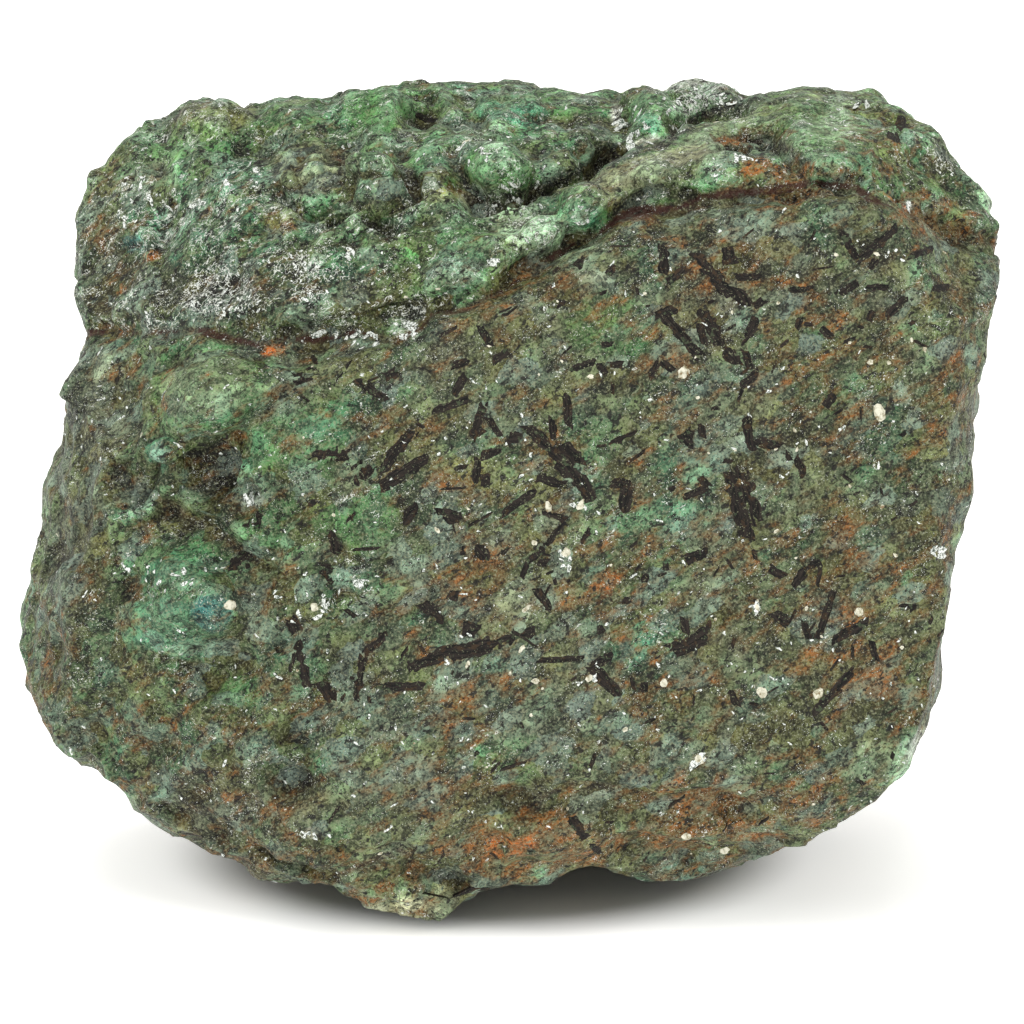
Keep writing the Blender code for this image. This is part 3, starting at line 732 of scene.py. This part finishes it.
def paintStone(stone):
    points, normals = readPoints(stone)
    x, y = toPixels(points)
    facing = ease(-(normals @ viewAhead), -0.05, 0.12)
    c, s = math.cos(math.radians(fabric["lean"])), math.sin(math.radians(fabric["lean"]))
    turn = np.array([[c * fabric["stretch"], 0, -s], [0, 1, 0], [s * fabric["stretch"], 0, c]])
    drawn = points @ turn
    broad, other = cloud(points, 9.0, 20.0), cloud(points, 5.0, 50.0)
    middle, small, tiny = cloud(drawn, 2.6, 30.0), cloud(drawn, 1.2, 40.0), cloud(drawn, 0.6, 60.0)
    ragged = 0.45 * middle + 0.4 * small + 0.25 * tiny
    line = fromLine(x, y, seam)
    above = facing * ease(line, -4, 10)
    left = facing * ease(x, 480, 260) * ease(y, 860, 700)
    fresh = np.maximum(above, 0.45 * left)
    tint = np.tile(pigment("greyGreen"), (len(points), 1))
    stain = 0.25 + 0.3 * ease(broad + 0.5 * ragged, -0.3, 0.4) - 0.2 * fresh
    stainTint = np.tile(pigment("amber"), (len(points), 1))
    bulge = ease(x, 460, 380) * ease(y, 150, 210)
    # how thick the mica is: it sets how many glints the finish paints on, and how many dark specks, more on
    # the top and the bulge
    glitter = 0.22 + 0.3 * ease(other + ragged, -0.3, 0.6) + 0.25 * above * (1 + 0.7 * bulge)

    def lay(name, amount):
        weight = np.clip(amount, 0, 1)[:, None]
        # silver: more painted glints, on a darker ground
        if name == "silver":
            glitter[:] += weight[:, 0]
            tint[:] = tint * (1 - 0.5 * weight)
        elif name in ("amber", "rust", "ochre"):
            stain[:] = np.maximum(stain, weight[:, 0])
            stainTint[:] = stainTint * (1 - weight) + pigment(name) * weight
        else:
            tint[:] = tint * (1 - weight) + pigment(name) * weight
            # frost and mint also get more painted glints
            if name in ("frost", "mint"):
                glitter[:] += 0.3 * weight[:, 0]

    # the stone all round
    lay("leafGreen", 0.6 * fresh)
    lay("teal", 0.55 * fresh * ease(middle + 0.5 * small, -0.2, 0.4))
    lay("deepGreen", 0.6 * ease(broad + ragged, 0.05, 0.5) * (1 - 0.4 * fresh))
    lay("leafGreen", 0.6 * ease(middle + 0.4 * small, 0.1, 0.5) * (1 - 0.5 * facing))
    lay("teal", 0.4 * ease(other + ragged, 0.15, 0.6))
    lay("olive", 0.4 * ease(-middle, 0.1, 0.5) * (1 - 0.2 * fresh))
    lay("slate", 0.4 * ease(-other + ragged, 0.2, 0.6))
    lay("umber", 0.5 * ease(small - broad, 0.25, 0.7) * (1 - 0.7 * fresh))
    lay("rust", 0.7 * ease(broad + 0.5 * other, 0.25, 0.65) * (1 - facing))

    crevice = findCrevices(stone, points, normals)
    print("  crevices from", np.percentile(crevice, 5).round(3), "to", np.percentile(crevice, 95).round(3))

    # what the photograph shows
    for name, *place, amount in strokes:
        bare = spot(x, y, *place)
        broken = ease(bare + ragged * (bare > 0) * (0.4 if name == "ink" else 0.8), 0.04, 0.4)
        lay(name, amount * broken * facing)
    # the part above the seam is painted lighter high up, partly its paler crystal and partly painted sheen on
    # the top, and darker low down near the seam; the lower face, from x 380 on, is made lighter towards the
    # bottom
    depth = y - 60 * ease(x, 330, 430)
    light = 1 + 0.4 * above * ease(depth, 280, 180) - 0.4 * above * ease(depth, 230, 290)
    tint *= (light + 0.15 * facing * ease(y, 660, 780) * ease(x, 280, 380))[:, None]
    for route, halfWidth, name, amount in lines:
        gap = np.abs(fromLine(x, y, route)) * (1 + 0.5 * middle)
        lay(name, amount * facing * ease(gap, halfWidth, halfWidth * 0.4) * ease(small + tiny, -1.4, -0.3))
    calm = np.zeros(len(points))
    for *place, amount in calmPlaces:
        calm = np.maximum(calm, amount * facing * ease(spot(x, y, *place) + 0.3 * ragged, 0.05, 0.5))

    pitted = facing * np.maximum(spot(x, y, 312, 168, 92, 62, 4), spot(x, y, 374, 188, 62, 54))
    lay("ink", 0.95 * ease(pitted, 0.02, 0.3) * ease(small + tiny, -0.1, 0.2))
    lay("ash", 0.6 * ease(pitted, 0.02, 0.3) * ease(small + tiny, -0.1, -0.4))
    glitter *= 1 - 0.6 * ease(pitted, 0, 0.3)
    # creases painted darker, umber and in the deepest ink: painted shade; ridges on the fresh faces painted
    # paler mint: painted highlight
    shallow, deep = np.percentile(crevice, 74), np.percentile(crevice, 95)
    lay("umber", 0.6 * ease(crevice + 0.02 * small, shallow, deep))
    lay("ink", 0.85 * ease(crevice + 0.02 * tiny, 0.6 * shallow + 0.4 * deep, 1.25 * deep))
    lay("mint", 0.35 * ease(-crevice, shallow, deep) * fresh)

    for name, colours in (("tint", tint), ("stainTint", stainTint)):
        layer = stone.data.color_attributes.new(name, "FLOAT_COLOR", "POINT")
        layer.data.foreach_set("color", np.hstack([colours, np.ones((len(points), 1))]).ravel())
    addNumbers(stone, "stain", stain)
    addNumbers(stone, "glitter", glitter)
    addNumbers(stone, "calm", calm)
    gap = np.abs(line) / view["scale"] + 0.3 + 0.35 * cloud(points, 3.4, 44.0) + 0.15 * middle
    gap -= 0.35 * ease(x, 590, 640) * ease(x, 900, 860) + 0.2 * ease(x, 700, 640)
    addNumbers(stone, "seamGap", np.where(facing > 0.3, gap, 60.0))


print("stage: pigments")
paintStone(stone)


def asColour(name):
    return (*pigment(name), 1.0)


# sizes in mm
beryl = {
    "cloudSize": 1.6, "domainSize": 2.0, "grainSize": 0.62, "dustSize": 0.24, "glintSize": 0.12,
    "crinkleSize": 0.62, "crackSize": 1.5, "bump": 0.8, "bumpDepth": 0.45, "shine": 0.32,
}


def makeBeryl():
    finish = newFinish("green beryl")
    along = fabric["stretch"]
    place, drawn = placeInMm(), placeInMm(stretch=along)
    colour = readLayer("tint", "Color")
    glitter, stain = readLayer("glitter"), readLayer("stain")
    varied = minus(1.0, readLayer("calm"))

    # cloudy crystals some 2 mm across, each of its own green, with a brown film between them
    domains = cells(bend(drawn, 1.1, 0.75), beryl["domainSize"])
    kind = hueOf(domains["Color"])
    lighter = shade(1.0, colour, 2.15, 2.1, 2.2)
    darker = shade(1.0, colour, 0.30, 0.31, 0.28)
    shades = (
        (between(kind[0], 0.5, 1.0, 0.0, 0.6), lighter), (between(kind[0], 0.5, 0.0, 0.0, 0.7), darker),
        (between(kind[1], 0.55, 0.9, 0.0, 0.5), asColour("haze")),
        (between(kind[1], 0.4, 0.1, 0.0, 0.4), asColour("olive")),
    )
    for amount, tone in shades:
        colour = blend(times(amount, varied), colour, tone)
    rim = between(domains["Distance"], 0.3, 0.72)
    colour = shade(times(rim, times(varied, 0.5)), colour, 0.42, 0.36, 0.28)

    # softer clouds across them
    clouds = grainNoise(drawn, beryl["cloudSize"], 3.0, 0.6)
    colour = shade(between(clouds, 0.52, 0.68, 0.0, 0.45), colour, 1.9, 1.95, 1.9)
    colour = shade(between(clouds, 0.48, 0.33, 0.0, 0.8), colour, 0.36, 0.33, 0.28)

    # small grains, each a little lighter or darker
    grains = cells(place, beryl["grainSize"])
    spread = blend(hueOf(grains["Color"])[0], (0.47, 0.47, 0.47, 1), (1.6, 1.6, 1.56, 1))
    colour = blend(1.0, colour, spread, "MULTIPLY")

    # rust soaks in between the crystals
    soak = grainNoise(placeInMm((0.007, 0.003, 0.011), fabric["streak"]), 1.3, 4.0, 0.68)
    soaked = minus(plus(soak, times(rim, 0.1)), minus(0.76, times(stain, 0.33)))
    broken = grainNoise(placeInMm((0.023, 0.005, 0.014), fabric["streak"]), 0.5, 2.0, 0.7)
    film = readLayer("stainTint", "Color")
    colour = blend(between(soaked, -0.1, 0.1, 0.0, 0.6), colour, film)
    flecks = times(between(soaked, 0.03, 0.16, 0.0, 0.8), between(broken, 0.45, 0.57))
    colour = blend(flecks, colour, shade(1.0, film, 1.65, 1.3, 0.9))

    # fine dust and dark specks, more of them where mica is thick
    dust = grainNoise(place, beryl["dustSize"], 2.0, 0.7)
    colour = shade(between(dust, 0.47, 0.35, 0.0, 0.85), colour, 0.16, 0.15, 0.12)
    colour = blend(between(dust, 0.53, 0.65, 0.0, 0.65), colour, asColour("ash"))
    specks = grainNoise(placeInMm((0.019, 0.023, 0.029), along), 0.6, 2.0, 0.7)
    spotted = times(between(minus(specks, times(glitter, 0.06)), 0.39, 0.32, 0.0, 0.9), varied)
    colour = blend(spotted, colour, asColour("ink"))
    cracks = times(hairline(drawn, beryl["crackSize"], 0.03), between(specks, 0.54, 0.48))
    colour = blend(times(cracks, 0.5), colour, asColour("ink"))

    # the seam's dark line
    wander = times(grainNoise(place, 0.8, 3.0, 0.7), 0.6)
    line = between(plus(readLayer("seamGap"), wander), 0.72, 0.40)
    colour = blend(times(line, between(broken, 0.34, 0.5, 0.35, 0.9)), colour, asColour("oxblood"))

    # painted glints of tiny mica and crystal faces: near-white points in clusters, and crinkled lines where
    # mica is thick
    glint = grainNoise(placeInMm((0.013, 0.009, 0.002)), beryl["glintSize"], 1.0, 0.75)
    cluster = between(grainNoise(drawn, 2.0, 2.0, 0.7), 0.4, 0.62, 0.1, 0.0)
    need = plus(minus(0.69, times(glitter, 0.075)), cluster)
    points = between(minus(glint, need), 0.0, 0.03)
    crinkle = hairline(placeInMm((0.003, 0.021, 0.017), along), beryl["crinkleSize"], 0.03)
    thick = minus(plus(specks, times(glitter, 0.32)), cluster)
    bright = calc("MAXIMUM", points, times(crinkle, between(thick, 0.71, 0.79)))
    colour = blend(times(bright, 0.8), colour, asColour("frost"))

    rough = minus(between(dust, 0.3, 0.7, 0.62, 0.4), times(bright, 0.25))
    height = times(domains["Distance"], -0.9)
    for layer, share in ((grains["Distance"], -0.35), (dust, 0.7), (clouds, 1.2)):
        height = plus(height, times(layer, share))
    height = minus(height, times(cracks, 0.4))
    finishWith(colour, rough, height, beryl["bump"], beryl["bumpDepth"], beryl["shine"])
    return finish


def makeMicaFinish():
    # dark brown mica, with sheaves of fine lines and a few painted glints
    finish = newFinish("brown mica")
    place = placeInMm()
    fibres = grainNoise(readLayer("grain", "Vector"), 0.16, 4.0, 0.75)
    patches = grainNoise(place, 0.9, 4.0, 0.7)
    colour = blend(between(fibres, 0.4, 0.6), (0.002, 0.002, 0.002, 1), (0.030, 0.023, 0.019, 1))
    colour = blend(between(patches, 0.55, 0.64, 0.0, 0.6), colour, asColour("umber"))
    colour = blend(between(patches, 0.40, 0.35, 0.0, 0.5), colour, asColour("greyGreen"))
    # painted glints
    bright = between(grainNoise(place, 0.2, 2.0, 0.75), 0.63, 0.67)
    colour = blend(times(bright, 0.7), colour, asColour("ash"))
    finishWith(colour, between(fibres, 0.3, 0.7, 0.4, 0.65), fibres, 0.7, 0.3, 0.2)
    return finish


def makeFlakeFinish():
    # silvery mica: its near-white is partly the mica's pale colour and partly painted glint
    finish = newFinish("silver mica")
    sheets = grainNoise(placeInMm(), 0.22, 4.0, 0.75)
    colour = blend(between(sheets, 0.42, 0.54), (0.06, 0.09, 0.06, 1), (0.88, 0.92, 0.88, 1))
    finishWith(colour, between(sheets, 0.3, 0.7, 0.12, 0.4), sheets, 0.5, 0.2)
    return finish


def makeGrainFinish():
    # cloudy cream feldspar with a little rust in its cracks
    finish = newFinish("cream feldspar")
    clouds = grainNoise(placeInMm(), 0.5, 4.0, 0.7)
    colour = blend(between(clouds, 0.36, 0.58), (0.34, 0.32, 0.20, 1), (0.78, 0.76, 0.62, 1))
    colour = blend(between(clouds, 0.42, 0.34, 0.0, 0.7), colour, asColour("rust"))
    finishWith(colour, between(clouds, 0.3, 0.7, 0.55, 0.35), clouds, 0.6, 0.25)
    return finish


print("stage: finishes")
stone.data.materials.clear()
stone.data.materials.append(makeBeryl())

# the finished surface, which the small pieces are set into
corners = [vertex.co / mm for vertex in stone.data.vertices]
surface = BVHTree.FromPolygons(corners, [polygon.vertices[:] for polygon in stone.data.polygons])


def seen(x, y):
    # the surface point that shows at a pixel, and the way it faces
    return surface.ray_cast(Vector(eye), Vector(towards(x, y)))[:2]


def elsewhere(luck, count, limit):
    # even picks all over the stone, of which those that face the eye are left out
    areas = np.cumsum([polygon.area for polygon in stone.data.polygons])
    for _ in range(count):
        place = stone.data.polygons[int(np.searchsorted(areas, luck.random() * areas[-1]))].center / mm
        normal = surface.find_nearest(place)[1]
        if normal.dot(Vector(viewAhead)) > limit:
            yield place, normal


def joinCopies(name, copies, finish):
    pick(copies[0])
    for copy in copies:
        copy.select_set(True)
    bpy.ops.object.join()
    piece = bpy.context.active_object
    piece.name = name
    piece.data.name = name
    piece.data.materials.clear()
    piece.data.materials.append(finish)
    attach(piece, "root")
    return piece


def readModel(model):
    return np.array([vertex.co[:] for vertex in model.data.vertices])


def copyModel(model, points):
    copy = bpy.data.objects.new(model.name, model.data.copy())
    bpy.context.collection.objects.link(copy)
    copy.data.vertices.foreach_set("co", (points * mm).ravel())
    return copy


# blades of brown mica that lie in the surface
blade = {
    "cuts": 6,
    "proud": 0.07,  # how far the crown stands out, mm
    "buried": 0.35,
    "ragged": 0.07,  # share of the width that an edge wanders
    "wider": 1.2,
    "drawn": 0.12,  # how far its grain is drawn out along it
    "faceCount": 150,  # small ones on the face
    "otherCount": 420,  # and on the other sides
    "tries": 5000,
    "across": (290, 965),  # where the small ones on the face lie, pixels
    "down": (225, 860),
    "seed": 7,
}

# ends and width in pixels
blades = (
    (311, 454, 351, 454, 14), (355, 378, 388, 403, 10), (383, 377, 396, 371, 12), (376, 474, 413, 432, 13),
    (380, 487, 432, 455, 13), (355, 483, 373, 466, 11), (291, 376, 311, 380, 14), (306, 369, 317, 368, 10),
    (332, 530, 338, 556, 10), (404, 523, 417, 503, 10), (445, 515, 462, 518, 13), (430, 412, 472, 398, 9),
    (484, 403, 475, 432, 9), (487, 417, 502, 438, 7), (508, 438, 521, 438, 13), (523, 423, 565, 463, 12),
    (552, 417, 554, 442, 8), (567, 393, 569, 428, 9), (556, 446, 577, 468, 24), (560, 462, 583, 484, 18),
    (579, 472, 592, 503, 14), (539, 477, 566, 484, 11), (475, 484, 478, 458, 8), (478, 458, 504, 448, 9),
    (479, 480, 492, 481, 14), (497, 518, 539, 489, 8), (440, 507, 457, 523, 13), (611, 482, 631, 484, 11),
    (629, 484, 623, 514, 13), (682, 432, 694, 440, 18), (701, 424, 703, 438, 8), (682, 498, 709, 487, 8),
    (709, 487, 699, 476, 8), (615, 440, 623, 440, 8), (581, 542, 590, 530, 6), (540, 562, 548, 563, 9),
    (478, 547, 488, 560, 12), (536, 588, 550, 611, 10), (419, 663, 545, 627, 17), (406, 668, 450, 656, 12),
    (460, 628, 478, 630, 15), (420, 602, 447, 620, 13), (448, 595, 460, 596, 11), (535, 661, 585, 658, 6),
    (588, 667, 613, 655, 11), (592, 667, 621, 699, 13), (668, 652, 711, 636, 16), (684, 618, 686, 634, 9),
    (682, 562, 709, 552, 12), (662, 566, 670, 566, 10), (641, 580, 648, 580, 9), (624, 601, 631, 600, 8),
    (596, 630, 604, 630, 9), (640, 687, 649, 687, 11), (632, 677, 634, 690, 5), (669, 488, 675, 488, 6),
    (543, 512, 567, 520, 7), (567, 518, 546, 546, 6), (546, 546, 528, 562, 7), (528, 562, 521, 580, 6),
    (244, 523, 262, 517, 16), (231, 569, 250, 554, 15), (323, 570, 331, 584, 8), (307, 503, 316, 503, 8),
    (290, 618, 297, 634, 13), (296, 642, 312, 692, 13), (320, 680, 334, 701, 12), (388, 629, 364, 654, 9),
    (364, 654, 354, 703, 9), (378, 688, 429, 686, 10), (451, 366, 469, 361, 9), (453, 396, 466, 374, 9),
    (479, 325, 492, 348, 8), (492, 362, 510, 350, 8), (469, 436, 485, 427, 11), (601, 344, 614, 344, 6),
    (570, 370, 598, 360, 7), (598, 363, 606, 375, 8), (611, 364, 624, 364, 8), (649, 377, 660, 361, 8),
    (660, 361, 675, 372, 8), (658, 309, 701, 357, 10), (699, 322, 705, 346, 8), (664, 284, 689, 266, 9),
    (744, 349, 751, 371, 8), (739, 388, 758, 372, 9), (746, 417, 752, 452, 10), (754, 440, 779, 447, 11),
    (785, 450, 802, 478, 12), (823, 409, 836, 393, 10), (730, 468, 750, 544, 17), (742, 470, 758, 520, 13),
    (674, 655, 711, 626, 13), (772, 612, 792, 626, 12), (792, 590, 806, 566, 8), (806, 566, 822, 562, 8),
    (767, 567, 784, 577, 9), (807, 722, 859, 664, 8), (830, 642, 871, 620, 10), (817, 639, 833, 592, 8),
    (803, 620, 809, 640, 7), (871, 639, 877, 663, 7), (729, 690, 738, 707, 8), (568, 815, 587, 838, 11),
    (591, 842, 600, 855, 8), (841, 229, 857, 261, 9), (857, 261, 901, 223, 9), (905, 258, 935, 248, 8),
    (868, 270, 878, 258, 8), (864, 288, 889, 288, 8), (838, 295, 861, 281, 8), (791, 289, 798, 289, 8),
    (797, 290, 815, 287, 6), (930, 290, 949, 287, 8), (884, 319, 908, 297, 9), (868, 321, 874, 309, 8),
    (820, 327, 832, 338, 8), (797, 328, 801, 317, 7), (730, 243, 733, 268, 18), (736, 277, 761, 276, 9),
    (701, 262, 748, 308, 15), (701, 310, 737, 367, 13), (752, 308, 765, 299, 9), (745, 338, 757, 318, 11),
    (663, 243, 664, 277, 11), (690, 248, 728, 290, 11), (656, 316, 677, 309, 10), (606, 276, 615, 266, 8),
    (574, 267, 580, 260, 8), (553, 273, 560, 266, 8), (901, 121, 889, 154, 11), (415, 112, 436, 121, 7),
)


def makeBladeModel():
    bpy.ops.object.select_all(action="DESELECT")
    bpy.ops.mesh.primitive_cube_add(size=1)
    model = bpy.context.active_object
    model.name = "blade model"
    bpy.ops.object.mode_set(mode="EDIT")
    mesh = bmesh.from_edit_mesh(model.data)
    for axis, cuts in ((0, blade["cuts"]), (1, 1)):
        bpy.ops.mesh.select_all(action="DESELECT")
        for edge in mesh.edges:
            way = edge.verts[1].co - edge.verts[0].co
            edge.select = abs(way[axis]) > 0.9 * way.length
        bmesh.update_edit_mesh(model.data)
        bpy.ops.mesh.subdivide(number_cuts=cuts)
        mesh = bmesh.from_edit_mesh(model.data)
    bpy.ops.object.mode_set(mode="OBJECT")
    return model


def layBlade(model, shape, start, end, width, luck):
    # bends a copy of the blade onto the surface between two points, in mm
    along = end - start
    middle, facing = surface.find_nearest((start + end) / 2)[:2]
    aside = facing.cross(along).normalized()
    edge = {}
    points = []
    for u, v, w in shape:
        key = (round(u, 3), round(v, 3))
        if key not in edge:
            taper = 1 - 0.3 * abs(2 * u) ** 4
            wander = luck.uniform(-1, 1) * blade["ragged"] * width
            slip = luck.uniform(-0.3, 0.3) * width if abs(u) > 0.45 else 0.0
            target = middle + along * u + along.normalized() * slip + aside * (v * width * taper + wander)
            hit = surface.ray_cast(target + facing, -facing, 1.5)
            edge[key] = (hit if hit[0] and hit[3] > 0.5 else surface.find_nearest(target))[:2]
        spotOn, normal = edge[key]
        crown = blade["proud"] * (1 - 5 * v * v) * (1 - abs(2 * u) ** 6 * 1.2)
        points.append(spotOn + normal * (crown if w > 0 else -blade["buried"]))
    copy = copyModel(model, np.array(points))
    grain = shape * np.array([along.length * blade["drawn"], width, 0.3]) + luck.uniform(0, 99)
    layer = copy.data.attributes.new("grain", "FLOAT_VECTOR", "POINT")
    layer.data.foreach_set("vector", grain.ravel())
    return copy


def makeBlades():
    luck = random.Random(blade["seed"])
    model = makeBladeModel()
    shape = readModel(model)
    copies = []
    for x0, y0, x1, y1, width in blades:
        start, end = seen(x0, y0)[0], seen(x1, y1)[0]
        if start and end:
            copies.append(layBlade(model, shape, start, end, blade["wider"] * width / view["scale"], luck))
    for _ in range(blade["faceCount"]):
        x, y = luck.uniform(*blade["across"]), luck.uniform(*blade["down"])
        length, lean = luck.uniform(2.5, 8) * luck.choice((1, 1, 1, 2)), math.radians(luck.gauss(35, 40))
        start = seen(x - length * math.cos(lean), y + length * math.sin(lean))[0]
        end = seen(x + length * math.cos(lean), y - length * math.sin(lean))[0]
        low = fromLine(np.array([x]), np.array([y]), seam)[0] < -12
        if start and end and low and (end - start).length < 6:
            copies.append(layBlade(model, shape, start, end, luck.uniform(2.5, 6) / view["scale"], luck))
    wanted = len(blades) + blade["faceCount"] + blade["otherCount"]
    for place, normal in elsewhere(luck, blade["tries"], 0.1):
        if len(copies) >= wanted:
            break
        way = normal.orthogonal().normalized()
        way.rotate(Matrix.Rotation(luck.uniform(0, math.tau), 3, normal))
        reach = luck.choice((0.5, 0.8, 1.2, 2.4, 4.0)) * luck.uniform(0.7, 1.3)
        width = luck.uniform(0.35, 1.1)
        copies.append(layBlade(model, shape, place - way * reach, place + way * reach, width, luck))
    bpy.data.objects.remove(model)
    return joinCopies("micaBlades", copies, makeMicaFinish())


# bright flakes of mica, their white partly painted glint, and cream grains
flake = {
    "tilt": 0.35, "sunk": 0.02, "otherCount": 700, "faceCount": 700, "seed": 11,
    "across": (60, 970), "down": (90, 880),  # where single ones on the face lie, pixels
}

# middle and size of each patch in pixels, how many flakes it has and how big they are
flakePatches = (
    (221, 292, 76, 54, 26, 4), (238, 304, 50, 30, 8, 4), (292, 264, 64, 30, 14, 4), (307, 297, 12, 10, 4, 6),
    (353, 256, 14, 8, 3, 8), (620, 120, 14, 26, 5, 13), (632, 138, 12, 16, 3, 10), (656, 140, 14, 8, 2, 8),
    (716, 92, 60, 30, 30, 5), (752, 158, 50, 4, 8, 5), (908, 207, 11, 10, 4, 8), (366, 340, 48, 16, 12, 7),
    (404, 327, 34, 22, 10, 7), (330, 334, 22, 8, 5, 7), (492, 261, 9, 8, 3, 7), (196, 203, 20, 8, 5, 8),
    (166, 577, 90, 40, 14, 5), (366, 584, 20, 6, 3, 11), (757, 606, 16, 7, 3, 9), (701, 760, 12, 10, 3, 9),
    (323, 612, 10, 26, 5, 7), (591, 678, 12, 8, 3, 8), (313, 834, 22, 12, 6, 7), (252, 500, 26, 14, 5, 7),
    (567, 559, 14, 18, 6, 6), (580, 505, 22, 14, 6, 6), (105, 420, 60, 120, 14, 4), (580, 216, 24, 20, 10, 5),
    (240, 175, 50, 30, 14, 5), (140, 205, 60, 60, 16, 5), (665, 115, 60, 40, 18, 6),
    (840, 110, 60, 40, 14, 5), (360, 180, 40, 26, 4, 4), (480, 150, 60, 30, 12, 5), (300, 600, 60, 60, 10, 5),
    (940, 553, 10, 12, 4, 7), (520, 200, 70, 40, 10, 5),
)


def makeFlakeModel():
    bpy.ops.object.select_all(action="DESELECT")
    bpy.ops.mesh.primitive_cylinder_add(vertices=6, radius=0.5, depth=0.12, end_fill_type="TRIFAN")
    model = bpy.context.active_object
    model.name = "flake model"
    return model


def makeGrainModel():
    bpy.ops.object.select_all(action="DESELECT")
    bpy.ops.mesh.primitive_ico_sphere_add(subdivisions=2, radius=0.5)
    model = bpy.context.active_object
    model.name = "grain model"
    return model


def setIn(model, shape, place, normal, size, stretch, tilt, sink, luck):
    # a copy of a flake or grain, turned and tilted at random, and sunk by a share of its size
    way = normal.orthogonal().normalized()
    way.rotate(Matrix.Rotation(luck.uniform(0, math.tau), 3, normal))
    lean = (normal + Vector([luck.uniform(-tilt, tilt) for _ in range(3)])).normalized()
    side = lean.cross(way).normalized()
    way = side.cross(lean)
    turn = np.array([way[:], side[:], lean[:]])
    uneven = np.array([[1 + luck.uniform(-0.22, 0.22)] for _ in shape])
    local = shape * uneven * np.array([size * stretch, size, size * 0.6])
    return copyModel(model, local @ turn + np.array((place - normal * sink * size)[:]))


def makeFlakes():
    luck = random.Random(flake["seed"])
    model = makeFlakeModel()
    shape = readModel(model)
    copies = []

    def add(place, normal, size):
        stretch = luck.uniform(1.0, 3.2)
        copies.append(setIn(model, shape, place, normal, size, stretch, flake["tilt"], flake["sunk"], luck))

    for x, y, wide, high, count, across in flakePatches:
        for _ in range(count):
            away, angle = math.sqrt(luck.random()) / 2, luck.uniform(0, math.tau)
            hit, normal = seen(x + wide * away * math.cos(angle), y + high * away * math.sin(angle))
            if hit:
                add(hit, normal, across * luck.uniform(0.4, 1.15) / view["scale"])
    for _ in range(flake["faceCount"]):
        hit, normal = seen(luck.uniform(*flake["across"]), luck.uniform(*flake["down"]))
        if hit:
            add(hit, normal, luck.uniform(0.12, 0.34))
    for place, normal in elsewhere(luck, flake["otherCount"], -0.1):
        add(place, normal, luck.choice((0.2, 0.3, 0.4, 0.8)) * luck.uniform(0.7, 1.2))
    bpy.data.objects.remove(model)
    return joinCopies("micaFlakes", copies, makeFlakeFinish())


grain = {
    "tilt": 0.2, "sunk": 0.14, "faceCount": 60, "otherCount": 80, "seed": 23,
    "across": (290, 960), "down": (250, 860),  # where the small ones on the face lie, pixels
}

# middle, length and height in pixels
grains = (
    (591, 678, 12, 8), (536, 681, 6, 10), (664, 683, 10, 9), (762, 692, 13, 12), (818, 693, 10, 13),
    (859, 611, 11, 10), (757, 606, 16, 6), (468, 664, 10, 5), (522, 648, 11, 5), (527, 608, 13, 5),
    (534, 543, 7, 6), (567, 552, 11, 10), (880, 415, 28, 12), (684, 372, 14, 12), (701, 760, 12, 9),
    (687, 837, 11, 8), (724, 850, 11, 12), (231, 605, 14, 11), (314, 608, 13, 10), (870, 362, 8, 6),
    (889, 363, 5, 5), (580, 507, 18, 7), (549, 508, 14, 8), (437, 530, 8, 5),
)


def makeGrains():
    luck = random.Random(grain["seed"])
    model = makeGrainModel()
    shape = readModel(model)
    copies = []

    def add(place, normal, size, stretch):
        copies.append(setIn(model, shape, place, normal, size, stretch, grain["tilt"], grain["sunk"], luck))

    for x, y, length, height in grains:
        hit, normal = seen(x, y)
        add(hit, normal, height / view["scale"], length / height)
    for _ in range(grain["faceCount"]):
        hit, normal = seen(luck.uniform(*grain["across"]), luck.uniform(*grain["down"]))
        if hit:
            add(hit, normal, luck.uniform(0.2, 0.45), luck.uniform(1, 1.8))
    for place, normal in elsewhere(luck, grain["otherCount"], -0.1):
        add(place, normal, luck.uniform(0.3, 1.1), luck.uniform(1, 2))
    bpy.data.objects.remove(model)
    return joinCopies("creamGrains", copies, makeGrainFinish())


print("stage: mica blades")
micaBlades = makeBlades()
print("  triangles", sum(len(polygon.vertices) - 2 for polygon in micaBlades.data.polygons))
print("stage: flakes and grains")
makeFlakes()
makeGrains()

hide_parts(node)
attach(stone, "root")
print("stage: done")
